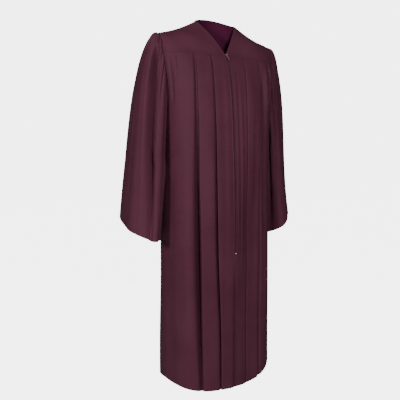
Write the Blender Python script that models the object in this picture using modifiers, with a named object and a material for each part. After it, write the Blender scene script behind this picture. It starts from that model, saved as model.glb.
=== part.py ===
"""Choir robe with a zipped pleated front, filled out as if it were worn.

Metres, +Z up. The robe faces -Y and the wearer's left is +X. The origin is
the middle of the neck opening, level with the tops of the shoulder seams.
Each cut piece of cloth is a wall lofted through sections of its middle surface.
"""

import math
from collections import namedtuple

import bmesh
import bpy
import numpy as np

# Cloth and seams
WALL = 0.0016
SEAM_GAP = 0.0003
BUTT = SEAM_GAP / 2
SHARP_ANGLE = 50.0
MOST_SLANT = 1.3                # how much longer a wall's slanted end may be than its thickness

# Neck, shoulders and yoke
NECK_HALF_WIDTH = 0.081
NECK_BACK_DEPTH = 0.050
NECK_BACK_RISE = 0.024
V_POINT_Z = -0.120
SHOULDER_HALF_WIDTH = 0.229
SHOULDER_DROP = 0.061
SHOULDER_SAG = 0.10             # of the drop, halfway along the shoulder
FRONT_YOKE_SEAM_Z = -0.131
BACK_YOKE_SEAM_Z = -0.142

# The V edge: the share of it above its point, and how it bows
V_POINT_SHARE = 0.90
V_BOW_OUT = 0.007
V_BOW_UP = 0.003

# Front yoke: sections down and points across, and how far it rounds out
YOKE_SECTIONS = (0.0, 0.12, 0.25, 0.40, 0.55, 0.70, 0.82, 0.90, 1.0)
YOKE_COLUMNS = 12
YOKE_BULGE = 0.010
YOKE_BULGE_UP = 0.6
YOKE_BULGE_REACH = 1.15

# Back yoke: its shoulder's share of the top edge, and the pulls of the cubics
# that run down from the shoulder or the neck to the yoke seam
BACK_YOKE_SECTIONS = (0.0, 0.12, 0.25, 0.40, 0.58, 0.78, 1.0)
SHOULDER_SHARE = 0.30
SHOULDER_COLUMNS = 9
NECK_COLUMNS = 11
NECK_CURVE_POWER = 1.4
SHOULDER_PULL = (0.0, 0.16, -0.02)
NECK_PULL = (0.0, 0.07, -0.12)
SEAM_PULL = (0.0, 0.03, -0.11)
NECK_PULL_START = 0.45
NECK_PULL_SPREAD = 0.45
RIM_SPREAD = 0.35

# Armholes, each an upright oval in the side of the body
ARMHOLE_BOTTOM_Z = -0.339
ARMHOLE_FRONT = 0.040
ARMHOLE_BACK = 0.070

# Hem
HEM_Z = -1.302
HEM_SIDE_RISE = {-1: 0.030, 1: 0.070}
HEM_RISE_POWER = {-1: 4.5, 1: 2.6}

# Zip
ZIP_TOP_Z = -0.1220
ZIP_END_Z = -0.826
ZIP_HALF_GAP = 0.0022
ZIP_CLOSES_OVER = 0.02
TAPE_INNER = 0.0004
TAPE_WIDTH = 0.012
TAPE_THICKNESS = 0.0010
TAPE_END_TUCK = 0.0016

# Slider and pull tab
SLIDER_Z = -0.1275
SLIDER_WIDTH = 0.0080
SLIDER_LENGTH = 0.0110
SLIDER_THICKNESS = 0.0020
SLIDER_ABOVE_CLOTH = 0.0007
SLIDER_ROUNDING = 0.0006
BAIL_RADIUS = 0.0027
BAIL_WIRE_RADIUS = 0.0006
BAIL_STRETCH = 1.3
NECK_WIDTH = 0.0026
NECK_LENGTH = 0.0060
NECK_DEPTH = 0.0016
NECK_SUNK = 0.0004
PULL_WIDTH = 0.0062
PULL_END_WIDTH = 0.0050
PULL_LENGTH = 0.0270
PULL_THICKNESS = 0.0010
PULL_WINDOW_WIDTH = 0.0032
PULL_WINDOW_END = 0.0066
PULL_HOLE_RADIUS = 0.0011
PULL_HOLE_ABOVE_END = 0.0032
PULL_CLEARANCE = 0.0003
PULL_ROUNDING = 0.00022
CUTTER_DEPTH = 0.004

# Stop at the zip's lower end
STOP_WIDTH = 0.0060
STOP_THICKNESS = 0.0018
STOP_LENGTH = 0.0034
STOP_ABOVE_END = 0.0015
STOP_ROUNDING = 0.0005

# Body rings: half width at the sides, depth in front and behind, squareness
Ring = namedtuple("Ring", "z half_width front back squareness")
BODY_RINGS = (
    Ring(-1.302, 0.209, 0.138, 0.154, 2.40),
    Ring(-0.900, 0.208, 0.138, 0.152, 2.40),
    Ring(-0.640, 0.208, 0.136, 0.147, 2.45),
    Ring(-0.450, 0.208, 0.128, 0.138, 2.65),
    Ring(-0.339, 0.210, 0.120, 0.129, 3.00),
    Ring(-0.250, 0.215, 0.110, 0.118, 3.30),
    Ring(-0.172, 0.226, 0.093, 0.102, 3.70),
    Ring(-0.131, 0.231, 0.076, 0.090, 3.90),
    Ring(-0.115, 0.233, 0.062, 0.082, 4.00),
)

# Pleats: how far each fold's edge lies from the middle, along the cloth's ring,
# how far the cloth laps back under it, the pitch of its three layers, and how
# deep the hollow beside the edge is
Pleats = namedtuple("Pleats", "z inner outer lap pitch hollow")
RIGHT_PLEATS = (
    Pleats(-1.300, 0.054, 0.121, 0.030, 0.0052, 0.0070),
    Pleats(-1.080, 0.057, 0.125, 0.029, 0.0050, 0.0150),
    Pleats(-0.850, 0.065, 0.130, 0.028, 0.0046, 0.0210),
    Pleats(-0.580, 0.070, 0.135, 0.026, 0.0038, 0.0150),
    Pleats(-0.400, 0.069, 0.136, 0.025, 0.0033, 0.0060),
    Pleats(-0.260, 0.068, 0.136, 0.024, 0.0028, 0.0020),
    Pleats(-0.131, 0.064, 0.130, 0.022, 0.0025, 0.0000),
)
LEFT_PLEATS = (
    Pleats(-1.300, 0.055, 0.114, 0.027, 0.0046, 0.0040),
    Pleats(-0.850, 0.054, 0.115, 0.027, 0.0042, 0.0035),
    Pleats(-0.580, 0.054, 0.117, 0.026, 0.0036, 0.0025),
    Pleats(-0.260, 0.060, 0.127, 0.024, 0.0028, 0.0010),
    Pleats(-0.131, 0.067, 0.134, 0.022, 0.0025, 0.0000),
)
BACK_PLEATS = (
    Pleats(-1.300, 0.058, 0.128, 0.030, 0.0052, 0.0060),
    Pleats(-0.800, 0.062, 0.132, 0.028, 0.0044, 0.0045),
    Pleats(-0.400, 0.062, 0.134, 0.025, 0.0032, 0.0020),
    Pleats(-0.142, 0.060, 0.132, 0.022, 0.0025, 0.0000),
)

# Where the cloth between pleats has its points, and how a pleat's hollow sits:
# its place beyond the fold's edge, the shares of its depth at the edge and
# halfway out, and its size on the inner pleat beside the outer one
PANEL_SHARES = (0.0, 0.28, 0.58, 0.82)
LAYER_TURNS = (math.radians(60), math.radians(120))
HOLLOW_PLACE = 0.009
HOLLOW_AT_EDGE = 0.4
HOLLOW_HALFWAY = 0.45
INNER_HOLLOW = 0.3
LAP_CLEARANCE = 0.003
OUTER_RISE = 0.042
SIDE_POINTS = 5

# Below the zip the left front sinks beside the centre seam
VALLEY_PLACE = 0.020
VALLEY_WIDTH = 0.014
VALLEY_DEPTH = 0.007
VALLEY_OPENS_OVER = 0.15

# Sleeves: cuff oval, its tilt, and how the cloth leaves the armhole
CUFF_CENTRE_X = 0.281
CUFF_CENTRE_Y = 0.055
CUFF_HALF_WIDTH = 0.051
CUFF_HALF_DEPTH = 0.124
CUFF_Z = -0.739
CUFF_OUTER_RISE = {-1: 0.010, 1: 0.042}
CUFF_FRONT_DROP = {-1: 0.035, 1: -0.004}
HEAD_SHIFT_TOP = 0.0013
HEAD_SHIFT_UNDER = 0.0018
GATHER_PITCH = 18.0
GATHER_SPAN = 81.0
GATHER_HEIGHT = 0.0030
GATHER_RISE = 0.05
GATHER_FADE_START = 0.07
GATHER_FADE = 0.22
FOLDS_RISE = 0.12

# How the sleeve's cloth leaves the armhole and reaches the cuff, as the pulls of
# a cubic that change round the sleeve: the same everywhere, and parts that follow
# the cosine and sine of the turn, the cosine of twice the turn and the front only
Pull = namedtuple("Pull", "even cosine sine cosine_twice front")
LEAVE_OUT = Pull(0.145, 0.085, 0.0, 0.0, -0.09)
LEAVE_BACK = Pull(0.05, 0.0, -0.05, 0.0, -0.04)
LEAVE_UP = Pull(-0.175, 0.07, 0.0, 0.125, 0.0)
ARRIVE_OUT = Pull(0.02, 0.03, 0.0, 0.0, 0.09)
ARRIVE_BACK = Pull(0.0, 0.0, -0.05, 0.0, 0.0)
ARRIVE_UP = Pull(-0.70, 0.0, 0.0, 0.0, 0.0)

# Sleeve folds: place round the sleeve in degrees (0 outer, 90 front), width in
# degrees, and height at the head, elbow and cuff (a hollow is negative)
Fold = namedtuple("Fold", "place width head elbow cuff")
SLEEVE_FOLDS = (
    Fold(-62, 20, 0.000, 0.005, 0.007),
    Fold(-25, 16, 0.004, 0.002, 0.001),
    Fold(23, 18, 0.003, 0.013, 0.009),
    Fold(52, 13, -0.002, -0.008, -0.007),
    Fold(84, 14, 0.003, 0.006, 0.006),
    Fold(124, 22, 0.001, 0.008, 0.001),
    Fold(215, 20, 0.000, 0.005, 0.007),
    Fold(255, 16, 0.000, -0.006, -0.008),
    Fold(180, 24, 0.000, -0.002, -0.003),
)

FRONT_ROWS = (-0.155, -0.190, -0.230, -0.265, -0.295, -0.320, -0.334, -0.360,
              -0.420, -0.520, -0.640, -0.835, -0.960, -1.100, -1.220, HEM_Z)
SLEEVE_HEAD_STEP = 6
SLEEVE_UNDER_COLUMNS = 13
SLEEVE_ROWS = (0.0, 0.03, 0.07, 0.12, 0.18, 0.26, 0.36, 0.47, 0.58, 0.70, 0.82, 0.92, 1.0)

# Slices of a grid of cloth, and the axes
FIRST_ROW = (0, slice(None))
LAST_ROW = (-1, slice(None))
FIRST_COLUMN = (slice(None), 0)
X, Y, Z = 0, 1, 2

MAROON = (0.098, 0.028, 0.046, 1.0)
ZIP_MAROON = (0.060, 0.014, 0.026, 1.0)
PAINTED_METAL = (0.110, 0.040, 0.056, 1.0)


def read(rows, column, at):
    """Smooth reading of a table's column at a height, held past its ends."""
    rows = sorted(rows, key=lambda row: row[0])
    places = [row[0] for row in rows]
    values = [getattr(row, column) for row in rows]
    at = min(max(at, places[0]), places[-1])
    last = len(rows) - 1
    k = min(max(int(np.searchsorted(places, at)) - 1, 0), last - 1)

    def slope(i):
        low, high = max(i - 1, 0), min(i + 1, last)
        return (values[high] - values[low]) / (places[high] - places[low])

    span = places[k + 1] - places[k]
    u = (at - places[k]) / span
    return hermite(values[k], slope(k) * span, values[k + 1], slope(k + 1) * span, u)


def hermite(start, start_pull, end, end_pull, u):
    """Point at u on the cubic that leaves start and reaches end with the given pulls."""
    return ((2 * u ** 3 - 3 * u ** 2 + 1) * start + (u ** 3 - 2 * u ** 2 + u) * start_pull
            + (3 * u ** 2 - 2 * u ** 3) * end + (u ** 3 - u ** 2) * end_pull)


def smooth(u):
    """Ease from 0 to 1 as u goes from 0 to 1."""
    u = min(max(u, 0.0), 1.0)
    return u * u * (3 - 2 * u)


class BodyRing:
    """A quarter of the body's ring at one height, read by distance from the middle."""

    def __init__(self, z, depth_column):
        self.half_width = read(BODY_RINGS, "half_width", z)
        self.depth = read(BODY_RINGS, depth_column, z)
        self.power = read(BODY_RINGS, "squareness", z)
        self.face = -1.0 if depth_column == "front" else 1.0
        turn = np.linspace(0.0, math.pi / 2, 600)
        self.x = self.half_width * np.sin(turn) ** (2 / self.power)
        self.y = self.depth * np.cos(turn) ** (2 / self.power)
        steps = np.hypot(np.diff(self.x), np.diff(self.y))
        self.run = np.concatenate(([0.0], np.cumsum(steps)))

    def length_to_depth(self, depth):
        """Distance from the middle at which the ring is this far in front or behind."""
        return float(np.interp(-depth, -self.y, self.run))

    def point(self, run, lift):
        """The point at a distance from the middle, lifted off the ring."""
        x = float(np.interp(run, self.run, self.x))
        y = float(np.interp(run, self.run, self.y))
        across = (x / self.half_width) ** (self.power - 1) / self.half_width
        along = (y / self.depth) ** (self.power - 1) / self.depth
        size = math.hypot(across, along)
        return x + across / size * lift, self.face * (y + along / size * lift)


def armhole_turn(z):
    """Angle round the armhole oval, from its top, at a height."""
    middle = (ARMHOLE_BOTTOM_Z - SHOULDER_DROP) / 2
    half = (-SHOULDER_DROP - ARMHOLE_BOTTOM_Z) / 2
    return math.acos(min(max((z - middle) / half, -1.0), 1.0))


def armhole_depth(z, face):
    """How far in front of the shoulder line, or behind it, the armhole's edge is."""
    widest = ARMHOLE_FRONT if face == "front" else ARMHOLE_BACK
    return widest * math.sin(armhole_turn(z))


def armhole_x(z, face):
    """Half width of the body at the armhole's edge, at a height."""
    seam = FRONT_YOKE_SEAM_Z if face == "front" else BACK_YOKE_SEAM_Z
    ring_z = min(z, seam)
    ring = BodyRing(ring_z, face)
    edge = ring.length_to_depth(armhole_depth(ring_z, face))
    x = ring.point(edge, 0.0)[0]
    if z > seam:
        share = (z - seam) / (-SHOULDER_DROP - seam)
        x += (SHOULDER_HALF_WIDTH - x) * smooth(share)
    return x


def armhole_point(side, turn_degrees):
    """Point of the armhole's edge: 0 at the shoulder, 90 in front, 180 under the arm."""
    turn = math.radians(turn_degrees)
    face = "front" if math.sin(turn) >= 0 else "back"
    widest = ARMHOLE_FRONT if face == "front" else ARMHOLE_BACK
    middle = (ARMHOLE_BOTTOM_Z - SHOULDER_DROP) / 2
    half = (-SHOULDER_DROP - ARMHOLE_BOTTOM_Z) / 2
    z = middle + half * math.cos(turn)
    return np.array((side * armhole_x(z, face), -widest * math.sin(turn), z))


def pleat_layers(edge, lap, pitch, hollow, rise_end):
    """Run and lift of a knife pleat's S, from its folded edge out to the next panel."""
    radius = pitch / 2
    inner = edge - lap + radius
    outer = edge - radius
    layers = [(outer, 0.0)]
    layers += [(outer + radius * math.sin(t), -radius + radius * math.cos(t)) for t in LAYER_TURNS]
    layers += [(outer, -pitch), (inner, -pitch)]
    layers += [(inner - radius * math.sin(t), -1.5 * pitch + radius * math.cos(t)) for t in LAYER_TURNS]
    floor = -2 * pitch - hollow
    deepest = edge + HOLLOW_PLACE
    layers += [(inner, -2 * pitch), (edge, floor + HOLLOW_AT_EDGE * hollow), (deepest, floor)]
    layers += [((deepest + rise_end) / 2, floor * HOLLOW_HALFWAY), (rise_end, 0.0)]
    return layers


def half_section(pleats, z, start, end):
    """Run and lift of a pleated half panel, from its middle edge to its side edge."""
    lap, pitch = read(pleats, "lap", z), read(pleats, "pitch", z)
    hollow = read(pleats, "hollow", z)
    inner, outer = read(pleats, "inner", z), read(pleats, "outer", z)
    radius = pitch / 2
    section = [(start + (inner - radius - start) * share, 0.0) for share in PANEL_SHARES]
    section += pleat_layers(inner, lap, pitch, hollow * INNER_HOLLOW, outer - lap - LAP_CLEARANCE)
    section += [((outer - lap + outer) / 2, 0.0)]
    rise_end = outer + OUTER_RISE
    section += pleat_layers(outer, lap, pitch, hollow, rise_end)
    section += [(run, 0.0) for run in np.linspace(rise_end, end, SIDE_POINTS + 1)[1:]]
    return section


def hem_lift(side, x, z, half_width):
    """How far a point rises because the hem is cut higher at the sides."""
    reach = smooth((z - ARMHOLE_BOTTOM_Z) / (HEM_Z - ARMHOLE_BOTTOM_Z)) ** 2
    return HEM_SIDE_RISE[side] * reach * min(abs(x) / half_width, 1.0) ** HEM_RISE_POWER[side]


def section_end(ring, z, face):
    """Run of a panel's outer edge: the armhole above the underarm, the side seam below."""
    if z > ARMHOLE_BOTTOM_Z:
        return ring.length_to_depth(max(armhole_depth(z, face), BUTT)) - BUTT
    return ring.length_to_depth(BUTT)


def centre_gap(z):
    """Half the gap at the centre front: open for the zip, a plain seam below it."""
    below = smooth((ZIP_END_Z - z) / ZIP_CLOSES_OVER)
    return ZIP_HALF_GAP + (BUTT - ZIP_HALF_GAP) * below


def front_rows(side):
    """Sections of one front panel, from the yoke seam to the hem."""
    pleats = RIGHT_PLEATS if side < 0 else LEFT_PLEATS
    rows = []
    for z in (FRONT_YOKE_SEAM_Z - BUTT,) + FRONT_ROWS:
        ring = BodyRing(z, "front")
        section = half_section(pleats, z, centre_gap(z), section_end(ring, z, "front"))
        below_zip = smooth((ZIP_END_Z - z) / VALLEY_OPENS_OVER)
        row = []
        for run, lift in section:
            if side > 0:
                offset = (run - VALLEY_PLACE) / VALLEY_WIDTH
                lift -= VALLEY_DEPTH * below_zip * math.exp(-offset * offset)
            x, y = ring.point(run, lift)
            row.append((side * x, y, z + hem_lift(side, x, z, ring.half_width)))
        rows.append(row)
    return rows


def back_rows():
    """Sections of the back panel, from side to side."""
    rows = []
    for z in (BACK_YOKE_SEAM_Z - BUTT,) + FRONT_ROWS:
        ring = BodyRing(z, "back")
        section = half_section(BACK_PLEATS, z, 0.0, section_end(ring, z, "back"))
        halves = []
        for side in (-1, 1):
            half = []
            for run, lift in section:
                x, y = ring.point(run, lift)
                half.append((side * x, y, z + hem_lift(side, x, z, ring.half_width)))
            halves.append(half)
        rows.append(halves[0][::-1] + halves[1][1:])
    return rows


def shoulder_point(side, share):
    """Point of the shoulder seam, from the neck (0) to the sleeve (1)."""
    x = NECK_HALF_WIDTH + (SHOULDER_HALF_WIDTH - NECK_HALF_WIDTH) * share
    z = -SHOULDER_DROP * (share + SHOULDER_SAG * math.sin(math.pi * share))
    return np.array((side * x, 0.0, z))


def v_edge_point(side, share):
    """Point of the V edge, from the shoulder seam down to the zip and on to the yoke seam."""
    start = np.array((NECK_HALF_WIDTH, 0.0, 0.0))
    v_depth = read(BODY_RINGS, "front", V_POINT_Z)
    end = np.array((ZIP_HALF_GAP, -v_depth, V_POINT_Z))
    if share <= V_POINT_SHARE:
        u = share / V_POINT_SHARE
        across = start + (end - start) * u
        across[1] -= V_BOW_OUT * math.sin(math.pi * u)
        across[2] += V_BOW_UP * math.sin(math.pi * u)
    else:
        seam = np.array((ZIP_HALF_GAP, -read(BODY_RINGS, "front", FRONT_YOKE_SEAM_Z),
                         FRONT_YOKE_SEAM_Z))
        across = end + (seam - end) * (share - V_POINT_SHARE) / (1 - V_POINT_SHARE)
    across[0] *= side
    return across


def armhole_edge(side, face, share, seam_z):
    """Point of the armhole's edge beside the yoke, from the shoulder to the yoke seam."""
    turn = math.degrees(armhole_turn(seam_z)) * share
    return armhole_point(side, turn if face == "front" else -turn)


def patch(left, right, top, bottom, u, v):
    """Coons patch: u runs from left to right, v from top to bottom."""
    ruled_v = left(v) * (1 - u) + right(v) * u
    ruled_u = top(u) * (1 - v) + bottom(u) * v
    corners = ((left(0) * (1 - u) + right(0) * u) * (1 - v)
               + (left(1) * (1 - u) + right(1) * u) * v)
    return ruled_v + ruled_u - corners


def front_yoke_rows(side):
    """The front yoke, from the shoulder seam down to the yoke seam."""
    seam_ring = BodyRing(FRONT_YOKE_SEAM_Z, "front")
    seam_end = seam_ring.length_to_depth(armhole_depth(FRONT_YOKE_SEAM_Z, "front"))

    def bottom(u):
        run = ZIP_HALF_GAP + (seam_end - ZIP_HALF_GAP) * u
        x, y = seam_ring.point(run, 0.0)
        return np.array((side * x, y, FRONT_YOKE_SEAM_Z))

    rows = []
    for v in YOKE_SECTIONS:
        row = []
        for u in np.linspace(0.0, 1.0, YOKE_COLUMNS):
            point = patch(lambda share: v_edge_point(side, share),
                          lambda share: armhole_edge(side, "front", share, FRONT_YOKE_SEAM_Z),
                          lambda share: shoulder_point(side, share), bottom, u, v)
            across = math.sin(math.pi * min(u * YOKE_BULGE_REACH, 1)) ** 2
            bulge = YOKE_BULGE * math.sin(math.pi * v) ** 1.5 * across
            row.append(point + np.array((0.0, -bulge, bulge * YOKE_BULGE_UP)))
        rows.append(row)
    return clear_edges(rows, "front")


def neck_back_point(share):
    """Point of the back neck edge, from the right shoulder seam to the left."""
    turn = math.pi * share
    return np.array((-NECK_HALF_WIDTH * math.cos(turn),
                     NECK_BACK_DEPTH * math.sin(turn),
                     NECK_BACK_RISE * math.sin(turn) ** NECK_CURVE_POWER))


def back_yoke_rows():
    """The back yoke, from the shoulders and the back neck down to its seam."""
    seam_ring = BodyRing(BACK_YOKE_SEAM_Z, "back")
    seam_end = seam_ring.length_to_depth(armhole_depth(BACK_YOKE_SEAM_Z, "back"))
    neck_start, neck_end = SHOULDER_SHARE, 1 - SHOULDER_SHARE
    columns = np.concatenate((np.linspace(0.0, neck_start, SHOULDER_COLUMNS),
                              np.linspace(neck_start, neck_end, NECK_COLUMNS)[1:-1],
                              np.linspace(neck_end, 1.0, SHOULDER_COLUMNS)))
    arrive = np.array(SEAM_PULL)

    def top(u):
        if u < neck_start:
            return shoulder_point(-1, 1 - u / neck_start)
        if u > neck_end:
            return shoulder_point(1, (u - neck_end) / (1 - neck_end))
        return neck_back_point((u - neck_start) / (neck_end - neck_start))

    def bottom(u):
        run = (2 * u - 1) * seam_end
        x, y = seam_ring.point(abs(run), 0.0)
        return np.array((math.copysign(x, run), y, BACK_YOKE_SEAM_Z))

    rows = []
    for v in BACK_YOKE_SECTIONS:
        row = []
        for u in columns:
            side = -1 if u < 0.5 else 1
            outer_end = 0 if side < 0 else 1
            inward = 1 - abs(2 * u - 1)
            neck_share = smooth((inward - NECK_PULL_START) / NECK_PULL_SPREAD)
            leave = np.array(SHOULDER_PULL) * (1 - neck_share) + np.array(NECK_PULL) * neck_share
            point = hermite(top(u), leave, bottom(u), arrive, v)
            plain_rim = hermite(top(outer_end), leave, bottom(outer_end), arrive, v)
            rim = armhole_edge(side, "back", v, BACK_YOKE_SEAM_Z)
            row.append(point + (rim - plain_rim) * (1 - smooth(inward / RIM_SPREAD)))
        rows.append(row)
    return clear_edges(rows, "back")


def clear_edges(rows, face):
    """Draw a yoke's shoulder seam and lower seam back by half the seam gap."""
    toward = -BUTT if face == "front" else BUTT
    for i, point in enumerate(rows[0]):
        if abs(point[0]) >= NECK_HALF_WIDTH - 1e-6:
            point[1] += toward
    for point in rows[-1]:
        point[2] += BUTT
    return rows


def cuff_point(side, turn_degrees):
    """Point of the cuff: 0 at the outer side, 90 in front."""
    turn = math.radians(turn_degrees)
    return np.array((side * (CUFF_CENTRE_X + CUFF_HALF_WIDTH * math.cos(turn)),
                     CUFF_CENTRE_Y - CUFF_HALF_DEPTH * math.sin(turn),
                     CUFF_Z + CUFF_OUTER_RISE[side] * math.cos(turn)
                     - CUFF_FRONT_DROP[side] * math.sin(turn)))


def fold_height(turn_degrees, down):
    """How far the sleeve's folds and head gathers push its cloth out."""
    height = 0.0
    for fold in SLEEVE_FOLDS:
        apart = (turn_degrees - fold.place + 180) % 360 - 180
        if down < 0.5:
            size = fold.head + (fold.elbow - fold.head) * smooth(down / 0.5)
        else:
            size = fold.elbow + (fold.cuff - fold.elbow) * smooth((down - 0.5) / 0.5)
        height += size * math.exp(-(apart / fold.width) ** 2)
    height *= smooth(down / FOLDS_RISE)
    turned = (turn_degrees + 180) % 360 - 180
    if abs(turned) < GATHER_SPAN:
        wave = math.cos(2 * math.pi * turned / GATHER_PITCH)
        fade = smooth(down / GATHER_RISE) * (1 - smooth((down - GATHER_FADE_START) / GATHER_FADE))
        height += GATHER_HEIGHT * wave * fade * math.cos(math.pi / 2 * turned / GATHER_SPAN) ** 0.5
    return height


def round_sleeve(pull, turn):
    """Value of a pull at a turn round the sleeve."""
    return (pull.even + pull.cosine * math.cos(turn) + pull.sine * math.sin(turn)
            + pull.cosine_twice * math.cos(2 * turn) + pull.front * max(math.sin(turn), 0.0))


def sleeve_rows(side):
    """The sleeve's rings, from the armhole down to the cuff."""
    head = np.arange(-GATHER_SPAN, GATHER_SPAN + 1, SLEEVE_HEAD_STEP)
    under = np.linspace(GATHER_SPAN, 360 - GATHER_SPAN, SLEEVE_UNDER_COLUMNS + 2)[1:-1]
    turns = np.concatenate((head, under))
    plain = []
    for down in SLEEVE_ROWS:
        ring = []
        for degrees in turns:
            turn = math.radians(degrees)
            start = armhole_point(side, degrees)
            shift = HEAD_SHIFT_UNDER + (HEAD_SHIFT_TOP - HEAD_SHIFT_UNDER) * math.cos(turn / 2) ** 2
            start[0] += side * shift
            end = cuff_point(side, degrees)
            leave = np.array((side * round_sleeve(LEAVE_OUT, turn),
                              round_sleeve(LEAVE_BACK, turn), round_sleeve(LEAVE_UP, turn)))
            arrive = np.array((side * round_sleeve(ARRIVE_OUT, turn),
                               round_sleeve(ARRIVE_BACK, turn), round_sleeve(ARRIVE_UP, turn)))
            ring.append(hermite(start, leave, end, arrive, down))
        plain.append(ring)
    rings = []
    count = len(turns)
    for k, down in enumerate(SLEEVE_ROWS):
        ring = []
        for i, degrees in enumerate(turns):
            along = plain[k][(i + 1) % count] - plain[k][i - 1]
            fall = plain[min(k + 1, len(plain) - 1)][i] - plain[max(k - 1, 0)][i]
            out = np.cross(fall, along) * -side
            out /= np.linalg.norm(out)
            ring.append(plain[k][i] + out * fold_height(degrees, down))
        rings.append(ring)
    return rings


def make_material(name, colour, roughness, metallic=0.0):
    """Principled material for one sub-part."""
    material = bpy.data.materials.new(name)
    material.use_nodes = True
    shader = material.node_tree.nodes["Principled BSDF"]
    shader.inputs["Base Color"].default_value = colour
    shader.inputs["Roughness"].default_value = roughness
    shader.inputs["Metallic"].default_value = metallic
    return material


def add_object(name, mesh, collection, material=None):
    """Link a mesh as a named object."""
    piece = bpy.data.objects.new(name, mesh)
    collection.objects.link(piece)
    if material is not None:
        mesh.materials.append(material)
    return piece


def unit(vectors):
    """Vectors of a grid, each scaled to length one."""
    return vectors / np.maximum(np.linalg.norm(vectors, axis=-1, keepdims=True), 1e-12)


def tangents(grid, axis, closed):
    """Direction of the cloth at each grid point, midway between its two neighbours' directions."""
    steps = unit(np.diff(grid, axis=axis))
    if closed:
        last = unit(np.take(grid, [0], axis) - np.take(grid, [-1], axis))
        steps = np.concatenate((last, steps, last), axis=axis)
    else:
        first, last = np.take(steps, [0], axis), np.take(steps, [-1], axis)
        steps = np.concatenate((first, steps, last), axis=axis)
    count = grid.shape[axis]
    before = np.take(steps, range(count), axis)
    after = np.take(steps, range(1, count + 1), axis)
    return unit(before + after)


def cloth_wall(name, rows, collection, material, thickness=WALL, closed=False, seams=()):
    """Loft rows of points into a wall of cloth.

    Each seam is a row or column slice with the axis that its plane is square to,
    so that the wall's end lies flat in that plane and meets its neighbour evenly.
    """
    grid = np.array(rows, dtype=float)
    count, width = grid.shape[:2]
    across = tangents(grid, 1, closed)
    normals = unit(np.cross(across, tangents(grid, 0, False)))
    reach = np.ones((count, width, 1))
    for place, axis in seams:
        tilt = normals[place][..., axis]
        normals[place + (axis,)] = 0.0
        normals[place] = unit(normals[place])
        flat = np.sqrt(np.maximum(1 - tilt ** 2, 1 / MOST_SLANT ** 2))
        reach[place] = (1 / flat)[..., None]
    offset = normals * reach * thickness / 2
    points = np.concatenate((grid + offset, grid - offset)).reshape(-1, 3)
    inner = count * width

    def corner(k, i):
        return k * width + i % width

    faces = []
    columns = range(width if closed else width - 1)
    for k in range(count - 1):
        for i in columns:
            quad = (corner(k, i), corner(k, i + 1), corner(k + 1, i + 1), corner(k + 1, i))
            faces.append(quad)
            faces.append(tuple(inner + c for c in reversed(quad)))
    rims = [(corner(k, i), corner(k, i + 1)) for k in (0, count - 1) for i in columns]
    if not closed:
        rims += [(corner(k, i), corner(k + 1, i)) for i in (0, width - 1) for k in range(count - 1)]
    faces += [(a, b, b + inner, a + inner) for a, b in rims]
    mesh = bpy.data.meshes.new(name)
    mesh.from_pydata([tuple(point) for point in points.tolist()], [], faces)
    shape = bmesh.new()
    shape.from_mesh(mesh)
    bmesh.ops.recalc_face_normals(shape, faces=shape.faces)
    shape.to_mesh(mesh)
    shape.free()
    mesh.shade_smooth()
    mesh.set_sharp_from_angle(angle=math.radians(SHARP_ANGLE))
    return add_object(name, mesh, collection, material)


def tape_rows(side):
    """Sections of one zip tape, lying behind the front's edge."""
    rows = []
    behind = -(WALL / 2 + SEAM_GAP + TAPE_THICKNESS / 2)
    heights = [z for z in FRONT_ROWS if z > ZIP_END_Z]
    for z in (ZIP_TOP_Z, FRONT_YOKE_SEAM_Z - BUTT, *heights, ZIP_END_Z):
        ring = BodyRing(z, "front")
        lift = behind - (TAPE_END_TUCK if z == ZIP_TOP_Z else 0.0)
        row = []
        for run in np.linspace(TAPE_INNER, TAPE_INNER + TAPE_WIDTH, 4):
            x, y = ring.point(run, lift)
            row.append((side * x, y, z))
        rows.append(row)
    return rows


def box(name, size, centre, collection, material=None):
    """Box of a size about a centre, with its scale in its mesh."""
    shape = bmesh.new()
    bmesh.ops.create_cube(shape, size=1.0)
    bmesh.ops.scale(shape, vec=size, verts=shape.verts)
    bmesh.ops.translate(shape, vec=centre, verts=shape.verts)
    mesh = bpy.data.meshes.new(name)
    shape.to_mesh(mesh)
    shape.free()
    return add_object(name, mesh, collection, material)


def bevel(piece, width, segments=2):
    """Round a piece's sharp edges."""
    rounding = piece.modifiers.new("rounding", "BEVEL")
    rounding.width = width
    rounding.segments = segments
    rounding.limit_method = "ANGLE"
    rounding.angle_limit = math.radians(40)


def combine(piece, other, operation):
    """Boolean with a helper shape, which stays out of the model."""
    join = piece.modifiers.new(other.name, "BOOLEAN")
    join.operation = operation
    join.solver = "EXACT"
    join.object = other
    other.hide_render = True
    other.display_type = "WIRE"


def cloth_face(z):
    """Place and slope of the front's outer face on the centre line."""
    step = 0.01
    depth = read(BODY_RINGS, "front", z)
    slope = (read(BODY_RINGS, "front", z - step) - read(BODY_RINGS, "front", z + step)) / (2 * step)
    return -(depth + WALL / 2), math.atan(slope)


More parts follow.
